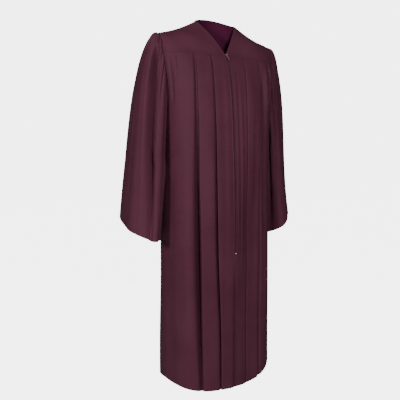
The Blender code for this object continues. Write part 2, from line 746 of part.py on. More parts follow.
def make_slider(robe, helpers, material):
    """Slider: a plate over the front edges, its neck between them, and a bail for the pull."""
    face_y, slope = cloth_face(SLIDER_Z)
    plate_y = -(SLIDER_ABOVE_CLOTH + SLIDER_THICKNESS / 2)
    plate = box("zip_slider", (SLIDER_WIDTH, SLIDER_THICKNESS, SLIDER_LENGTH),
                (0.0, plate_y, 0.0), robe, material)
    bevel(plate, SLIDER_ROUNDING)
    neck = box("slider_neck", (NECK_WIDTH, NECK_DEPTH, NECK_LENGTH),
               (0.0, NECK_DEPTH / 2 - SLIDER_ABOVE_CLOTH - NECK_SUNK, 0.0), helpers)
    bpy.ops.mesh.primitive_torus_add(major_radius=BAIL_RADIUS, minor_radius=BAIL_WIRE_RADIUS,
                                     major_segments=20, minor_segments=8)
    bail = bpy.context.active_object
    bail.name = "slider_bail"
    for vertex in bail.data.vertices:
        x, y, z = vertex.co
        vertex.co = (z, x + plate_y - SLIDER_THICKNESS / 2, -y * BAIL_STRETCH)
    for collection in list(bail.users_collection):
        collection.objects.unlink(bail)
    helpers.objects.link(bail)
    pieces = (plate, neck, bail)
    for piece in pieces:
        piece.location = (0.0, face_y, SLIDER_Z)
        piece.rotation_euler = (-slope, 0.0, 0.0)
    combine(plate, neck, "UNION")
    combine(plate, bail, "UNION")
    return face_y, slope, plate_y - SLIDER_THICKNESS / 2


def make_pull(robe, helpers, material, face_y, slope, plate_front):
    """Pull tab, hung by the bar above its window in the slider's bail."""
    axis_out = -plate_front + PULL_CLEARANCE + PULL_THICKNESS / 2
    place = (0.0, face_y - axis_out * math.cos(slope), SLIDER_Z + axis_out * math.sin(slope))
    hinge = bpy.data.objects.new("pull_hinge", None)
    robe.objects.link(hinge)
    hinge.location = place
    hinge.rotation_euler = (-slope, 0.0, 0.0)
    half = PULL_THICKNESS / 2
    tab = box("zip_pull", (PULL_WIDTH, PULL_THICKNESS, PULL_LENGTH),
              (0.0, 0.0, half - PULL_LENGTH / 2), robe, material)
    for vertex in tab.data.vertices:
        if vertex.co.z < -PULL_LENGTH / 2:
            vertex.co.x *= PULL_END_WIDTH / PULL_WIDTH
    window_length = PULL_WINDOW_END - half
    window = box("pull_window", (PULL_WINDOW_WIDTH, CUTTER_DEPTH, window_length),
                 (0.0, 0.0, -half - window_length / 2), helpers)
    bpy.ops.mesh.primitive_cylinder_add(vertices=16, radius=PULL_HOLE_RADIUS,
                                        depth=CUTTER_DEPTH, rotation=(math.pi / 2, 0, 0))
    hole = bpy.context.active_object
    hole.name = "pull_hole"
    for collection in list(hole.users_collection):
        collection.objects.unlink(hole)
    helpers.objects.link(hole)
    hole.location = (0.0, 0.0, PULL_HOLE_ABOVE_END - PULL_LENGTH)
    combine(tab, window, "DIFFERENCE")
    combine(tab, hole, "DIFFERENCE")
    bevel(tab, PULL_ROUNDING, 1)
    for piece in (tab, window, hole):
        piece.parent = hinge


def make_end_stop(robe, material):
    """Stop across the front edges at the lower end of the zip."""
    stop_z = ZIP_END_Z + STOP_ABOVE_END
    face_y, slope = cloth_face(stop_z)
    stop = box("zip_end_stop", (STOP_WIDTH, STOP_THICKNESS, STOP_LENGTH),
               (0.0, -SEAM_GAP - STOP_THICKNESS / 2, 0.0), robe, material)
    bevel(stop, STOP_ROUNDING)
    stop.location = (0.0, face_y, stop_z)
    stop.rotation_euler = (-slope, 0.0, 0.0)


def clear_scene():
    """Remove the objects that Blender starts with."""
    for thing in list(bpy.data.objects):
        bpy.data.objects.remove(thing, do_unlink=True)


def main():
    """Build the robe."""
    clear_scene()
    robe = bpy.data.collections.new("choir_robe")
    helpers = bpy.data.collections.new("cutters")
    bpy.context.scene.collection.children.link(robe)
    bpy.context.scene.collection.children.link(helpers)

    def cloth(name):
        return make_material(name + "_cloth", MAROON, 0.62)

    for side, word in ((-1, "right"), (1, "left")):
        name = "front_yoke_" + word
        cloth_wall(name, front_yoke_rows(side), robe, cloth(name),
                   seams=((FIRST_ROW, Y), (LAST_ROW, Z)))
        name = "front_panel_" + word
        cloth_wall(name, front_rows(side), robe, cloth(name),
                   seams=((FIRST_ROW, Z), (FIRST_COLUMN, X)))
        name = "sleeve_" + word
        cloth_wall(name, sleeve_rows(side), robe, cloth(name), closed=True)
        name = "zip_tape_" + word
        cloth_wall(name, tape_rows(side), robe, make_material(name + "_weave", ZIP_MAROON, 0.7),
                   thickness=TAPE_THICKNESS)
    shoulders = SHOULDER_COLUMNS
    cloth_wall("back_yoke", back_yoke_rows(), robe, cloth("back_yoke"),
               seams=(((0, slice(0, shoulders)), Y), ((0, slice(-shoulders, None)), Y),
                      (LAST_ROW, Z)))
    cloth_wall("back_panel", back_rows(), robe, cloth("back_panel"), seams=((FIRST_ROW, Z),))

    slider_metal = make_material("slider_enamel", PAINTED_METAL, 0.38, 0.4)
    pull_metal = make_material("pull_enamel", PAINTED_METAL, 0.35, 0.4)
    face_y, slope, plate_front = make_slider(robe, helpers, slider_metal)
    make_pull(robe, helpers, pull_metal, face_y, slope, plate_front)
    make_end_stop(robe, make_material("stop_enamel", PAINTED_METAL, 0.45, 0.3))


main()
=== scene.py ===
import math

import bpy
import numpy as np
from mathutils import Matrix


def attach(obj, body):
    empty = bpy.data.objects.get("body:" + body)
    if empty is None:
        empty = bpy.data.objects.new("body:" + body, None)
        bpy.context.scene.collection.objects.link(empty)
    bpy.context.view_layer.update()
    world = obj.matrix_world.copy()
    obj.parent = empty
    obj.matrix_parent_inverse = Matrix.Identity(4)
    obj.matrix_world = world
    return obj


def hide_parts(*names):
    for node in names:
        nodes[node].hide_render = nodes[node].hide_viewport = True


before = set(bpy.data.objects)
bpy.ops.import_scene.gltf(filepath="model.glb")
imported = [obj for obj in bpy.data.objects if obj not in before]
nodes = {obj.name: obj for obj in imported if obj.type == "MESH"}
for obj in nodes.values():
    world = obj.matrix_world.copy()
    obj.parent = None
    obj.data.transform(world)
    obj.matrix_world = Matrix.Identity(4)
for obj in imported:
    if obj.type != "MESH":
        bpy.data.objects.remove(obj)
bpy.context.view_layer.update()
print("frame loaded:", len(nodes), "solids")


def smooth(u):
    u = np.clip(u, 0.0, 1.0)
    return u * u * (3 - 2 * u)


def hermite(start, leave, end, arrive, u):  # a cubic with a pull at each end
    return ((2 * u ** 3 - 3 * u ** 2 + 1) * start + (u ** 3 - 2 * u ** 2 + u) * leave
            + (3 * u ** 2 - 2 * u ** 3) * end + (u ** 3 - u ** 2) * arrive)


def namedRows(columns, rows):
    return [dict(zip(columns.split(), row)) for row in rows]


def heightTable(columns, rows):  # columns read by height, which is the first one
    rows = sorted(rows)
    return {name: np.array([row[k] for row in rows]) for k, name in enumerate(columns.split())}


def readTable(table, column, z):
    places, values = table["z"], table[column]
    count = len(places)
    z = min(max(z, places[0]), places[-1])
    k = min(max(int(np.searchsorted(places, z)) - 1, 0), count - 2)

    def slope(i):
        low, high = max(i - 1, 0), min(i + 1, count - 1)
        return (values[high] - values[low]) / (places[high] - places[low])

    span = places[k + 1] - places[k]
    return hermite(values[k], slope(k) * span, values[k + 1], slope(k + 1) * span,
                   (z - places[k]) / span)


def fineSteps(count, length, atStart=True, atEnd=True, finest=0.0007, growth=1.45):
    # places from 0 to 1, close together at the ends where the cloth rolls into a seam or hem
    room = np.full(count - 1, np.inf)
    if atStart:
        room = np.minimum(room, finest * growth ** np.arange(count - 1))
    if atEnd:
        room = np.minimum(room, finest * growth ** np.arange(count - 1)[::-1])
    even = length / (count - 1)
    for _ in range(40):
        steps = np.minimum(room, even)
        even *= length / steps.sum()
    places = np.concatenate(([0.0], np.cumsum(steps)))
    return places / places[-1]


def unit(vectors):
    return vectors / np.maximum(np.linalg.norm(vectors, axis=-1, keepdims=True), 1e-12)


# The robe's form, in metres. It faces -Y and the wearer's left is +X. A side is -1 on
# the wearer's right and 1 on the left.

robe = {
    "cloth": 0.0010,
    "hemFold": 0.0009,          # how much thicker the cloth is where its edge is turned up
    "hemFoldEnd": 0.0012,
    "seamGap": 0.0005,          # from a seam's plane to the last full row of cloth
    "centreSeamGap": 0.0004,    # the same in the middle of the front, where the edges press together
    "seamDip": 0.0007,          # how deep the cloth rolls in at a seam
    "seamRoll": 0.0017,         # how far from the seam it does so
    "headDip": 0.0024,          # the same two where a sleeve's gathered head meets the body
    "headRoll": 0.0042,
    "headDipLost": 0.85,        # the share of that dip that is gone under the arm
    "headDipFade": (80, 30),    # degrees from the shoulder where it starts to go, and over how many
    "headTuckZ": (-0.339, -0.320, -0.290, -0.250, -0.210, -0.180, -0.150, -0.135, -0.125, -0.068),
    "headTuck": {               # how far the body runs on under the sleeve's head, by height
        "front": (0.0, 0.0002, 0.0003, 0.0004, 0.0016, 0.0024, 0.0023, 0.0021, 0.0014, 0.0011),
        "back": (0.0, 0.0002, 0.0003, 0.0004, 0.0016, 0.0022, 0.0019, 0.0014, 0.0014, 0.0012)},
    "neckHalfWidth": 0.081,
    "neckBackDepth": 0.050,
    "neckBackRise": 0.024,
    "vPointZ": -0.120,
    "shoulderHalfWidth": 0.229,
    "shoulderDrop": 0.061,
    "shoulderSag": 0.10,
    "seamZ": {"front": -0.131, "back": -0.142},     # where the yokes end and the panels start
    "armholeBottomZ": -0.339,
    "armholeReach": {"front": 0.040, "back": 0.070},
    "hemZ": -1.302,
    "hemSideRise": {-1: 0.030, 1: 0.070},
    "hemRisePower": {-1: 4.5, 1: 2.6},
    "hemSlack": 0.22,           # how far the hem of a hollow hangs below its folds, by its depth
}

zipper = {
    "topZ": -0.1220,
    "endZ": -0.826,
    "closeTop": -0.822,         # the fronts close from here down to here
    "closeFoot": -0.8275,
    "halfGap": 0.0022,
    "tapeInner": 0.0004,
    "tapeWidth": 0.012,
    "tapeThickness": 0.0008,
    "tapeBehind": 0.0014,
    "toothPitch": 0.0024,
    "toothSize": (0.0031, 0.0012, 0.0011),      # across, deep, along
    "toothShift": 0.0006,
    "topstitch": 0.0072,        # from the middle to the stitched line beside the zip
    "topstitchStart": 0.004,    # how far below the yoke seam that line starts, and below the zip it ends
    "topstitchPast": 0.010,
    "crossStitchStart": 0.0012,
    "crossStitchGap": 0.0022,
    "teethStart": 0.0100,
    "teethShort": 0.002,
    "toothBehind": 0.0004,
    "tapeTuck": 0.0016,         # how much deeper the tapes lie at the top, under the slider
    "tapeTuckEnd": 0.009,
}
zipEdge = zipper["halfGap"] + robe["cloth"] / 2

stitch = {
    "length": 0.0026,
    "gap": 0.0007,
    "thread": 0.00042,
    "cuffInset": 0.0085,
    "hemInset": 0.0110,
    "turnPast": 0.002,          # how far the turned-up cloth reaches past its stitches
    "raised": 0.00006,
}

bodyRings = heightTable("z halfWidth front back squareness", (
    (-1.302, 0.209, 0.138, 0.154, 2.40),
    (-0.900, 0.208, 0.138, 0.152, 2.40),
    (-0.640, 0.208, 0.136, 0.147, 2.45),
    (-0.450, 0.208, 0.128, 0.138, 2.65),
    (-0.339, 0.210, 0.120, 0.129, 3.00),
    (-0.250, 0.215, 0.110, 0.118, 3.30),
    (-0.172, 0.226, 0.093, 0.102, 3.70),
    (-0.131, 0.231, 0.076, 0.090, 3.90),
    (-0.115, 0.233, 0.062, 0.082, 4.00)))

# How far the inner and outer pleats' folded edges run from the middle, along the cloth, how wide
# each lap is, the pitch of its layers, and the depth of the hollow beside the outer pleat
pleatColumns = "z inner outer lap pitch hollow"
frontPleats = {
    -1: heightTable(pleatColumns, (
        (-1.300, 0.054, 0.121, 0.030, 0.0052, 0.0080),
        (-1.080, 0.057, 0.125, 0.029, 0.0050, 0.0190),
        (-0.850, 0.065, 0.128, 0.028, 0.0046, 0.0280),
        (-0.680, 0.069, 0.131, 0.027, 0.0040, 0.0270),
        (-0.580, 0.070, 0.133, 0.026, 0.0038, 0.0220),
        (-0.400, 0.069, 0.132, 0.025, 0.0033, 0.0120),
        (-0.260, 0.068, 0.132, 0.024, 0.0028, 0.0060),
        (-0.131, 0.064, 0.128, 0.022, 0.0025, 0.0000))),
    1: heightTable(pleatColumns, (
        (-1.300, 0.055, 0.114, 0.027, 0.0046, 0.0040),
        (-0.850, 0.054, 0.115, 0.027, 0.0042, 0.0035),
        (-0.580, 0.054, 0.117, 0.026, 0.0036, 0.0025),
        (-0.260, 0.060, 0.127, 0.024, 0.0028, 0.0010),
        (-0.131, 0.067, 0.134, 0.022, 0.0025, 0.0000))),
}
backPleats = heightTable(pleatColumns, (
    (-1.300, 0.058, 0.128, 0.030, 0.0052, 0.0070),
    (-0.800, 0.062, 0.132, 0.028, 0.0044, 0.0055),
    (-0.400, 0.062, 0.134, 0.025, 0.0032, 0.0025),
    (-0.142, 0.060, 0.132, 0.022, 0.0025, 0.0000)))

pleat = {
    "panelShares": {"front": (0.0, 0.03, 0.06, 0.10, 0.15, 0.22, 0.31, 0.41, 0.53, 0.67, 0.83),
                    "back": (0.0, 0.28, 0.58, 0.82)},
    "layerTurns": (math.radians(60), math.radians(120)),
    "hollowAtEdge": 0.5,
    "hollowFull": 0.027,        # a hollow this deep has its whole width
    "hollowNarrow": 0.5,
    # how far past the fold, and the share of the hollow's depth there
    "hollowShape": ((0.0020, 1.0), (0.0110, 0.95), (0.0185, 0.34), (0.0280, 0.08)),
    "innerHollow": 0.40,
    "innerHollowShape": ((0.0016, 1.0), (0.0055, 0.90), (0.0095, 0.28), (0.0180, 0.05)),
    "seamPress": 0.35,          # how flat the layers are sewn at the yoke
    "seamPressReach": 0.022,
    "lapClearance": 0.003,
    "outerRise": 0.042,
    "sidePoints": 5,
    "levelReach": 0.012,        # how far from the middle the two fronts are brought level
    "roundings": 2,
    "foldFade": 0.22,           # the share of a fold's length over which it rises, and ends
    "foldCalm": 0.012,          # how near the armhole and side the soft folds lie flat
    "sideCalm": 0.035,          # the same for the slow unevenness, at the side, yoke and middle
    "seamCalm": 0.05,
    "middleCalm": (0.008, 0.03),
}

# Soft ridges and troughs of the hanging panels: how far each runs from the middle at its
# top and foot, where it starts and ends, its half width and its height
foldColumns = "top foot start end width height"
frontFolds = {
    -1: namedRows(foldColumns, (
        (0.0045, 0.0045, -0.134, -0.860, 0.0018, 0.0007),
        (0.0078, 0.0078, -0.134, -0.860, 0.0014, -0.0006),
        (0.000, 0.000, -0.836, -1.600, 0.0060, -0.0080),
        (0.022, 0.024, -0.150, -0.760, 0.009, 0.0010),
        (0.041, 0.038, -0.180, -1.150, 0.011, -0.0010),
        (0.098, 0.090, -0.200, -0.900, 0.016, 0.0012),
        (0.100, 0.092, -0.780, -1.290, 0.015, -0.0012),
        (0.194, 0.197, -0.131, -0.240, 0.0045, -0.0028),
        (0.203, 0.206, -0.131, -0.250, 0.005, 0.0022),
        (0.224, 0.221, -0.131, -0.320, 0.0045, -0.0045),
        (0.170, 0.166, -0.380, -1.350, 0.030, 0.0090),
        (0.246, 0.248, -0.420, -1.600, 0.024, -0.0050))),
    1: namedRows(foldColumns, (
        (0.0045, 0.0045, -0.134, -0.860, 0.0018, 0.0007),
        (0.0078, 0.0078, -0.134, -0.860, 0.0014, -0.0006),
        (0.000, 0.000, -0.836, -1.600, 0.0600, -0.0080),
        (0.016, 0.015, -0.140, -0.800, 0.0045, 0.0009),
        (0.026, 0.025, -0.145, -0.860, 0.0050, -0.0010),
        (0.036, 0.034, -0.150, -0.960, 0.0055, 0.0012),
        (0.047, 0.043, -0.200, -1.000, 0.0060, -0.0009),
        (0.078, 0.072, -0.450, -1.700, 0.046, -0.0120),
        (0.086, 0.078, -0.160, -0.700, 0.009, 0.0012),
        (0.098, 0.090, -0.300, -1.000, 0.010, -0.0012),
        (0.144, 0.150, -0.131, -0.800, 0.011, -0.0110),
        (0.164, 0.168, -0.131, -0.330, 0.006, 0.0038),
        (0.179, 0.184, -0.131, -0.300, 0.005, -0.0034),
        (0.192, 0.200, -0.131, -0.360, 0.006, 0.0036),
        (0.206, 0.214, -0.131, -0.280, 0.005, -0.0030),
        (0.166, 0.160, -0.700, -1.220, 0.014, 0.0030),
        (0.198, 0.188, -0.500, -1.260, 0.015, -0.0022))),
}
backFolds = {
    -1: namedRows(foldColumns, (
        (0.022, 0.030, -0.170, -0.900, 0.012, 0.0014),
        (0.044, 0.040, -0.300, -1.180, 0.011, -0.0014),
        (0.092, 0.084, -0.200, -0.860, 0.014, 0.0018),
        (0.172, 0.180, -0.144, -0.330, 0.006, -0.0022),
        (0.186, 0.190, -0.150, -0.420, 0.007, 0.0022),
        (0.186, 0.176, -0.560, -1.270, 0.018, 0.0032),
        (0.218, 0.212, -0.520, -1.200, 0.014, -0.0024))),
    1: namedRows(foldColumns, (
        (0.018, 0.024, -0.200, -0.740, 0.010, -0.0012),
        (0.038, 0.034, -0.260, -1.240, 0.013, 0.0015),
        (0.096, 0.100, -0.380, -1.220, 0.015, -0.0017),
        (0.170, 0.176, -0.144, -0.310, 0.006, 0.0020),
        (0.182, 0.194, -0.148, -0.460, 0.007, -0.0024),
        (0.178, 0.186, -0.620, -1.280, 0.017, 0.0030),
        (0.214, 0.206, -0.480, -1.150, 0.014, -0.0022))),
}

# Slow unevenness of all hanging cloth: size, waves across and down in radians a metre, phase
unevenness = namedRows("size across down phase", (
    (0.00060, 33.0, 4.6, 0.3),
    (0.00042, 59.0, -8.3, 1.9),
    (0.00030, 88.0, 13.7, 4.1),
    (0.00065, 15.0, 10.9, 2.2)))


def uneven(across, down, shift):
    return sum(wave["size"] * np.sin(wave["across"] * across + wave["down"] * down
                                     + wave["phase"] + shift) for wave in unevenness)


class BodyRing:  # a quarter of the body's ring at one height, read by distance from the middle
    def __init__(self, z, face):
        self.halfWidth = readTable(bodyRings, "halfWidth", z)
        self.depth = readTable(bodyRings, face, z)
        self.power = readTable(bodyRings, "squareness", z)
        self.toward = -1.0 if face == "front" else 1.0
        turn = np.linspace(0.0, math.pi / 2, 2400)
        self.x = self.halfWidth * np.sin(turn) ** (2 / self.power)
        self.y = self.depth * np.cos(turn) ** (2 / self.power)
        steps = np.hypot(np.diff(self.x), np.diff(self.y))
        self.run = np.concatenate(([0.0], np.cumsum(steps)))

    def runAtDepth(self, depth):
        return float(np.interp(-depth, -self.y, self.run))

    def point(self, run, lift):
        x = np.interp(run, self.run, self.x)
        y = np.interp(run, self.run, self.y)
        across = (x / self.halfWidth) ** (self.power - 1) / self.halfWidth
        along = (y / self.depth) ** (self.power - 1) / self.depth
        size = np.hypot(across, along)
        return x + across / size * lift, self.toward * (y + along / size * lift)


armholeMiddleZ = (robe["armholeBottomZ"] - robe["shoulderDrop"]) / 2
armholeHalfHeight = (-robe["shoulderDrop"] - robe["armholeBottomZ"]) / 2


def armholeTurn(z):
    return math.acos(min(max((z - armholeMiddleZ) / armholeHalfHeight, -1.0), 1.0))


def armholeDepth(z, face):
    return robe["armholeReach"][face] * math.sin(armholeTurn(z))


def armholeX(z, face):
    seam = robe["seamZ"][face]
    ring = BodyRing(min(z, seam), face)
    x = float(ring.point(ring.runAtDepth(armholeDepth(min(z, seam), face)), 0.0)[0])
    if z > seam:
        share = (z - seam) / (-robe["shoulderDrop"] - seam)
        x += (robe["shoulderHalfWidth"] - x) * float(smooth(share))
    return x


def armholePoint(side, degrees):  # 0 at the shoulder, 90 in front, 180 under the arm
    turn = math.radians(degrees)
    face = "front" if math.sin(turn) >= 0 else "back"
    z = armholeMiddleZ + armholeHalfHeight * math.cos(turn)
    return np.array((side * armholeX(z, face), -robe["armholeReach"][face] * math.sin(turn), z))


# Cloth of the front and back panels

def pleatLayers(edge, lap, pitch, hollow, hollowShape, riseEnd):
    radius = pitch / 2
    inner = edge - lap + radius
    outer = edge - radius
    turns = pleat["layerTurns"]
    layers = [(outer, 0.0)]
    layers += [(outer + radius * math.sin(t), -radius + radius * math.cos(t)) for t in turns]
    layers += [(outer, -pitch), (inner, -pitch)]
    layers += [(inner - radius * math.sin(t), -1.5 * pitch + radius * math.cos(t)) for t in turns]
    floor = -2 * pitch - hollow
    narrow = pleat["hollowNarrow"]
    width = narrow + (1 - narrow) * min(hollow / pleat["hollowFull"], 1.0)
    layers += [(inner, -2 * pitch), (edge, floor + pleat["hollowAtEdge"] * hollow)]
    layers += [(edge + past * width, floor * share) for past, share in hollowShape]
    return layers + [(riseEnd, 0.0)]


def halfSection(pleats, face, z, start, end):  # run and lift of half a panel, from its middle to its side
    lap, pitch = readTable(pleats, "lap", z), readTable(pleats, "pitch", z)
    pressed = 1 - float(smooth((pleats["z"][-1] - z) / pleat["seamPressReach"]))
    pitch *= 1 - (1 - pleat["seamPress"]) * pressed
    inner, outer = readTable(pleats, "inner", z), readTable(pleats, "outer", z)
    hollow = readTable(pleats, "hollow", z)
    reach = inner - pitch / 2 - start
    section = [(start + reach * share, 0.0) for share in pleat["panelShares"][face]]
    section += pleatLayers(inner, lap, pitch, hollow * pleat["innerHollow"],
                           pleat["innerHollowShape"], outer - lap - pleat["lapClearance"])
    section += [(outer - lap / 2, 0.0)]
    riseEnd = outer + pleat["outerRise"]
    section += pleatLayers(outer, lap, pitch, hollow, pleat["hollowShape"], riseEnd)
    section += [(run, 0.0) for run in np.linspace(riseEnd, end, pleat["sidePoints"] + 1)[1:]]
    points = np.array(section)
    for _ in range(pleat["roundings"]):     # cut the corners until the folds are round
        early, late = points[:-1], points[1:]
        cut = np.empty((2 * len(early), 2))
        cut[0::2] = early * 0.75 + late * 0.25
        cut[1::2] = early * 0.25 + late * 0.75
        points = np.vstack((points[:1], cut, points[-1:]))
    return points[:, 0], points[:, 1]


def foldLift(folds, run, z):
    lift = np.zeros_like(run)
    for fold in folds:
        length = fold["start"] - fold["end"]
        share = (fold["start"] - z) / length
        if not 0 < share < 1:
            continue
        middle = fold["top"] + (fold["foot"] - fold["top"]) * share
        fade = smooth(share / pleat["foldFade"]) * smooth((1 - share) / pleat["foldFade"])
        lift += fold["height"] * fade * np.exp(-((run - middle) / fold["width"]) ** 2)
    return lift


def frontLift(side, run, z):  # a front half's folds, brought level with the other half's at the middle
    edge = np.array([robe["seamGap"]])
    ends = {each: float(foldLift(frontFolds[each], edge, z)[0]) for each in (-1, 1)}
    level = (ends[-1] + ends[1]) / 2 - ends[side]
    return foldLift(frontFolds[side], run, z) + level * np.exp(-((run - edge[0]) / pleat["levelReach"]) ** 2)


def skirtShare(z):  # 0 down to the armhole's foot, and 1 at the hem
    return smooth((z - robe["armholeBottomZ"]) / (robe["hemZ"] - robe["armholeBottomZ"]))


def hemLift(side, x, z, halfWidth):
    share = np.minimum(np.abs(x) / halfWidth, 1.0)
    return robe["hemSideRise"][side] * skirtShare(z) ** 2 * share ** robe["hemRisePower"][side]


def centreGap(z):  # open for the zip, and a plain seam below it
    below = float(smooth((zipper["closeTop"] - z) / (zipper["closeTop"] - zipper["closeFoot"])))
    return zipEdge + (robe["centreSeamGap"] - zipEdge) * below


def headTuck(z, face):
    return np.interp(z, robe["headTuckZ"], robe["headTuck"][face])


def tuckRims(grid, face, rims):  # a yoke's rims, run on under the sleeve's head
    for rim, beside in rims:
        out = unit(grid[:, rim] - grid[:, beside])
        grid[:, rim] += out * headTuck(grid[:, rim, 2], face)[:, None]
    return grid


def panelEnd(ring, z, face):
    last = ring.runAtDepth(robe["seamGap"])
    if z > robe["armholeBottomZ"]:
        line = ring.runAtDepth(max(armholeDepth(z, face), robe["seamGap"])) - robe["seamGap"]
        return min(line + float(headTuck(z, face)), last)
    return last


def panelSection(side, face, z):
    ring = BodyRing(z, face)
    pleats = frontPleats[side] if face == "front" else backPleats
    seam = robe["seamZ"][face]
    start = centreGap(z) if face == "front" else 0.0
    end = panelEnd(ring, z, face)
    run, lift = halfSection(pleats, face, z, start, end)
    free = smooth((end - run) / pleat["sideCalm"]) * smooth((seam - z) / pleat["seamCalm"])
    calm, spread = pleat["middleCalm"]
    fromMiddle = smooth((run - calm) / spread) if face == "front" else 1.0
    folded = frontLift(side, run, z) if face == "front" else foldLift(backFolds[side], run, z)
    lift = lift + folded * smooth((end - run) / pleat["foldCalm"])
    lift = lift + uneven(side * run, z, 0.0 if face == "front" else 2.6) * free * fromMiddle
    return ring, run, lift


def panelPoints(side, face, z):
    ring, run, lift = panelSection(side, face, z)
    x, y = ring.point(run, lift)
    hang = robe["hemSlack"] * np.minimum(lift, 0.0) * skirtShare(z) ** 4
    return np.column_stack((side * x, y, z + hang + hemLift(side, x, z, ring.halfWidth)))


def panelHeights(seam, count):
    top = seam - robe["seamGap"]
    bottom = robe["hemZ"] + robe["cloth"] / 2
    heights = list(top + (bottom - top) * fineSteps(count, top - bottom))
    heights += [robe["armholeBottomZ"] + step for step in (-0.003, 0.0002, 0.0010, 0.0026, 0.0052)]
    heights += list(np.linspace(zipper["closeTop"], zipper["closeFoot"], 5))
    heights = sorted(heights, reverse=True)
    kept = [heights[0]]
    for z in heights[1:]:
        if kept[-1] - z > 0.0004:
            kept.append(z)
    kept[-1] = bottom
    return kept


# Cloth of the yokes

yoke = {
    "vPointShare": 0.90,
    "vBowOut": 0.007,
    "vBowUp": 0.003,
    "bulge": 0.010,
    "bulgeUp": 0.6,
    "bulgeReach": 1.15,
    "shoulderShare": 0.30,
    "neckCurvePower": 1.4,
    "shoulderPull": (0.0, 0.16, -0.02),
    "neckPull": (0.0, 0.07, -0.12),
    "seamPull": (0.0, 0.03, -0.11),
    "neckPullStart": 0.45,
    "neckPullSpread": 0.45,
    "rimSpread": 0.35,
    "frontColumns": 64,
    "frontRows": 46,
    "backColumns": 120,
    "backRows": 46,
}


def shoulderPoint(side, share):
    x = robe["neckHalfWidth"] + (robe["shoulderHalfWidth"] - robe["neckHalfWidth"]) * share
    z = -robe["shoulderDrop"] * (share + robe["shoulderSag"] * math.sin(math.pi * share))
    return np.array((side * x, 0.0, z))


def vEdgePoint(side, share):
    start = np.array((robe["neckHalfWidth"], 0.0, 0.0))
    end = np.array((zipEdge, -readTable(bodyRings, "front", robe["vPointZ"]), robe["vPointZ"]))
    if share <= yoke["vPointShare"]:
        u = share / yoke["vPointShare"]
        point = start + (end - start) * u
        point[1] -= yoke["vBowOut"] * math.sin(math.pi * u)
        point[2] += yoke["vBowUp"] * math.sin(math.pi * u)
    else:
        seamZ = robe["seamZ"]["front"]
        seam = np.array((zipEdge, -readTable(bodyRings, "front", seamZ), seamZ))
        point = end + (seam - end) * (share - yoke["vPointShare"]) / (1 - yoke["vPointShare"])
    point[0] *= side
    return point


def yokeRim(side, face, share):
    seam = robe["seamZ"][face]
    degrees = math.degrees(armholeTurn(seam)) * share
    return armholePoint(side, degrees if face == "front" else -degrees)


def clearSeams(grid, face):
    gap = robe["seamGap"]
    onShoulder = np.abs(grid[0, :, 0]) >= robe["neckHalfWidth"] - 1e-6
    grid[0, onShoulder, 1] += -gap if face == "front" else gap
    grid[-1, :, 2] += gap
    return grid


def frontYokeGrid(side):
    us = fineSteps(yoke["frontColumns"], 0.20)
    vs = fineSteps(yoke["frontRows"], 0.13)
    ring = BodyRing(robe["seamZ"]["front"], "front")
    end = ring.runAtDepth(armholeDepth(robe["seamZ"]["front"], "front"))
    x, y = ring.point(zipEdge + (end - zipEdge) * us, 0.0)
    bottom = np.column_stack((side * x, y, np.full_like(x, robe["seamZ"]["front"])))
    top = np.array([shoulderPoint(side, u) for u in us])
    left = np.array([vEdgePoint(side, v) for v in vs])
    right = np.array([yokeRim(side, "front", v) for v in vs])
    u, v = us[None, :, None], vs[:, None, None]
    ruled = left[:, None] * (1 - u) + right[:, None] * u + top[None] * (1 - v) + bottom[None] * v
    corners = ((left[0] * (1 - u) + right[0] * u) * (1 - v)
               + (left[-1] * (1 - u) + right[-1] * u) * v)
    grid = ruled - corners
    bulge = (yoke["bulge"] * np.sin(math.pi * v) ** 1.5
             * np.sin(math.pi * np.minimum(u * yoke["bulgeReach"], 1)) ** 2)
    grid = grid + bulge * np.array((0.0, -1.0, yoke["bulgeUp"]))
    free = smooth(u / 0.15) * smooth((1 - u) / 0.15) * smooth(v / 0.2) * smooth((1 - v) / 0.2)
    grid = grid + free * 0.8 * uneven(u * 0.2, v * 0.13, 1.0 + side) * np.array((0.0, -1.0, 0.5))
    return tuckRims(clearSeams(grid, "front"), "front", ((-1, -2),))


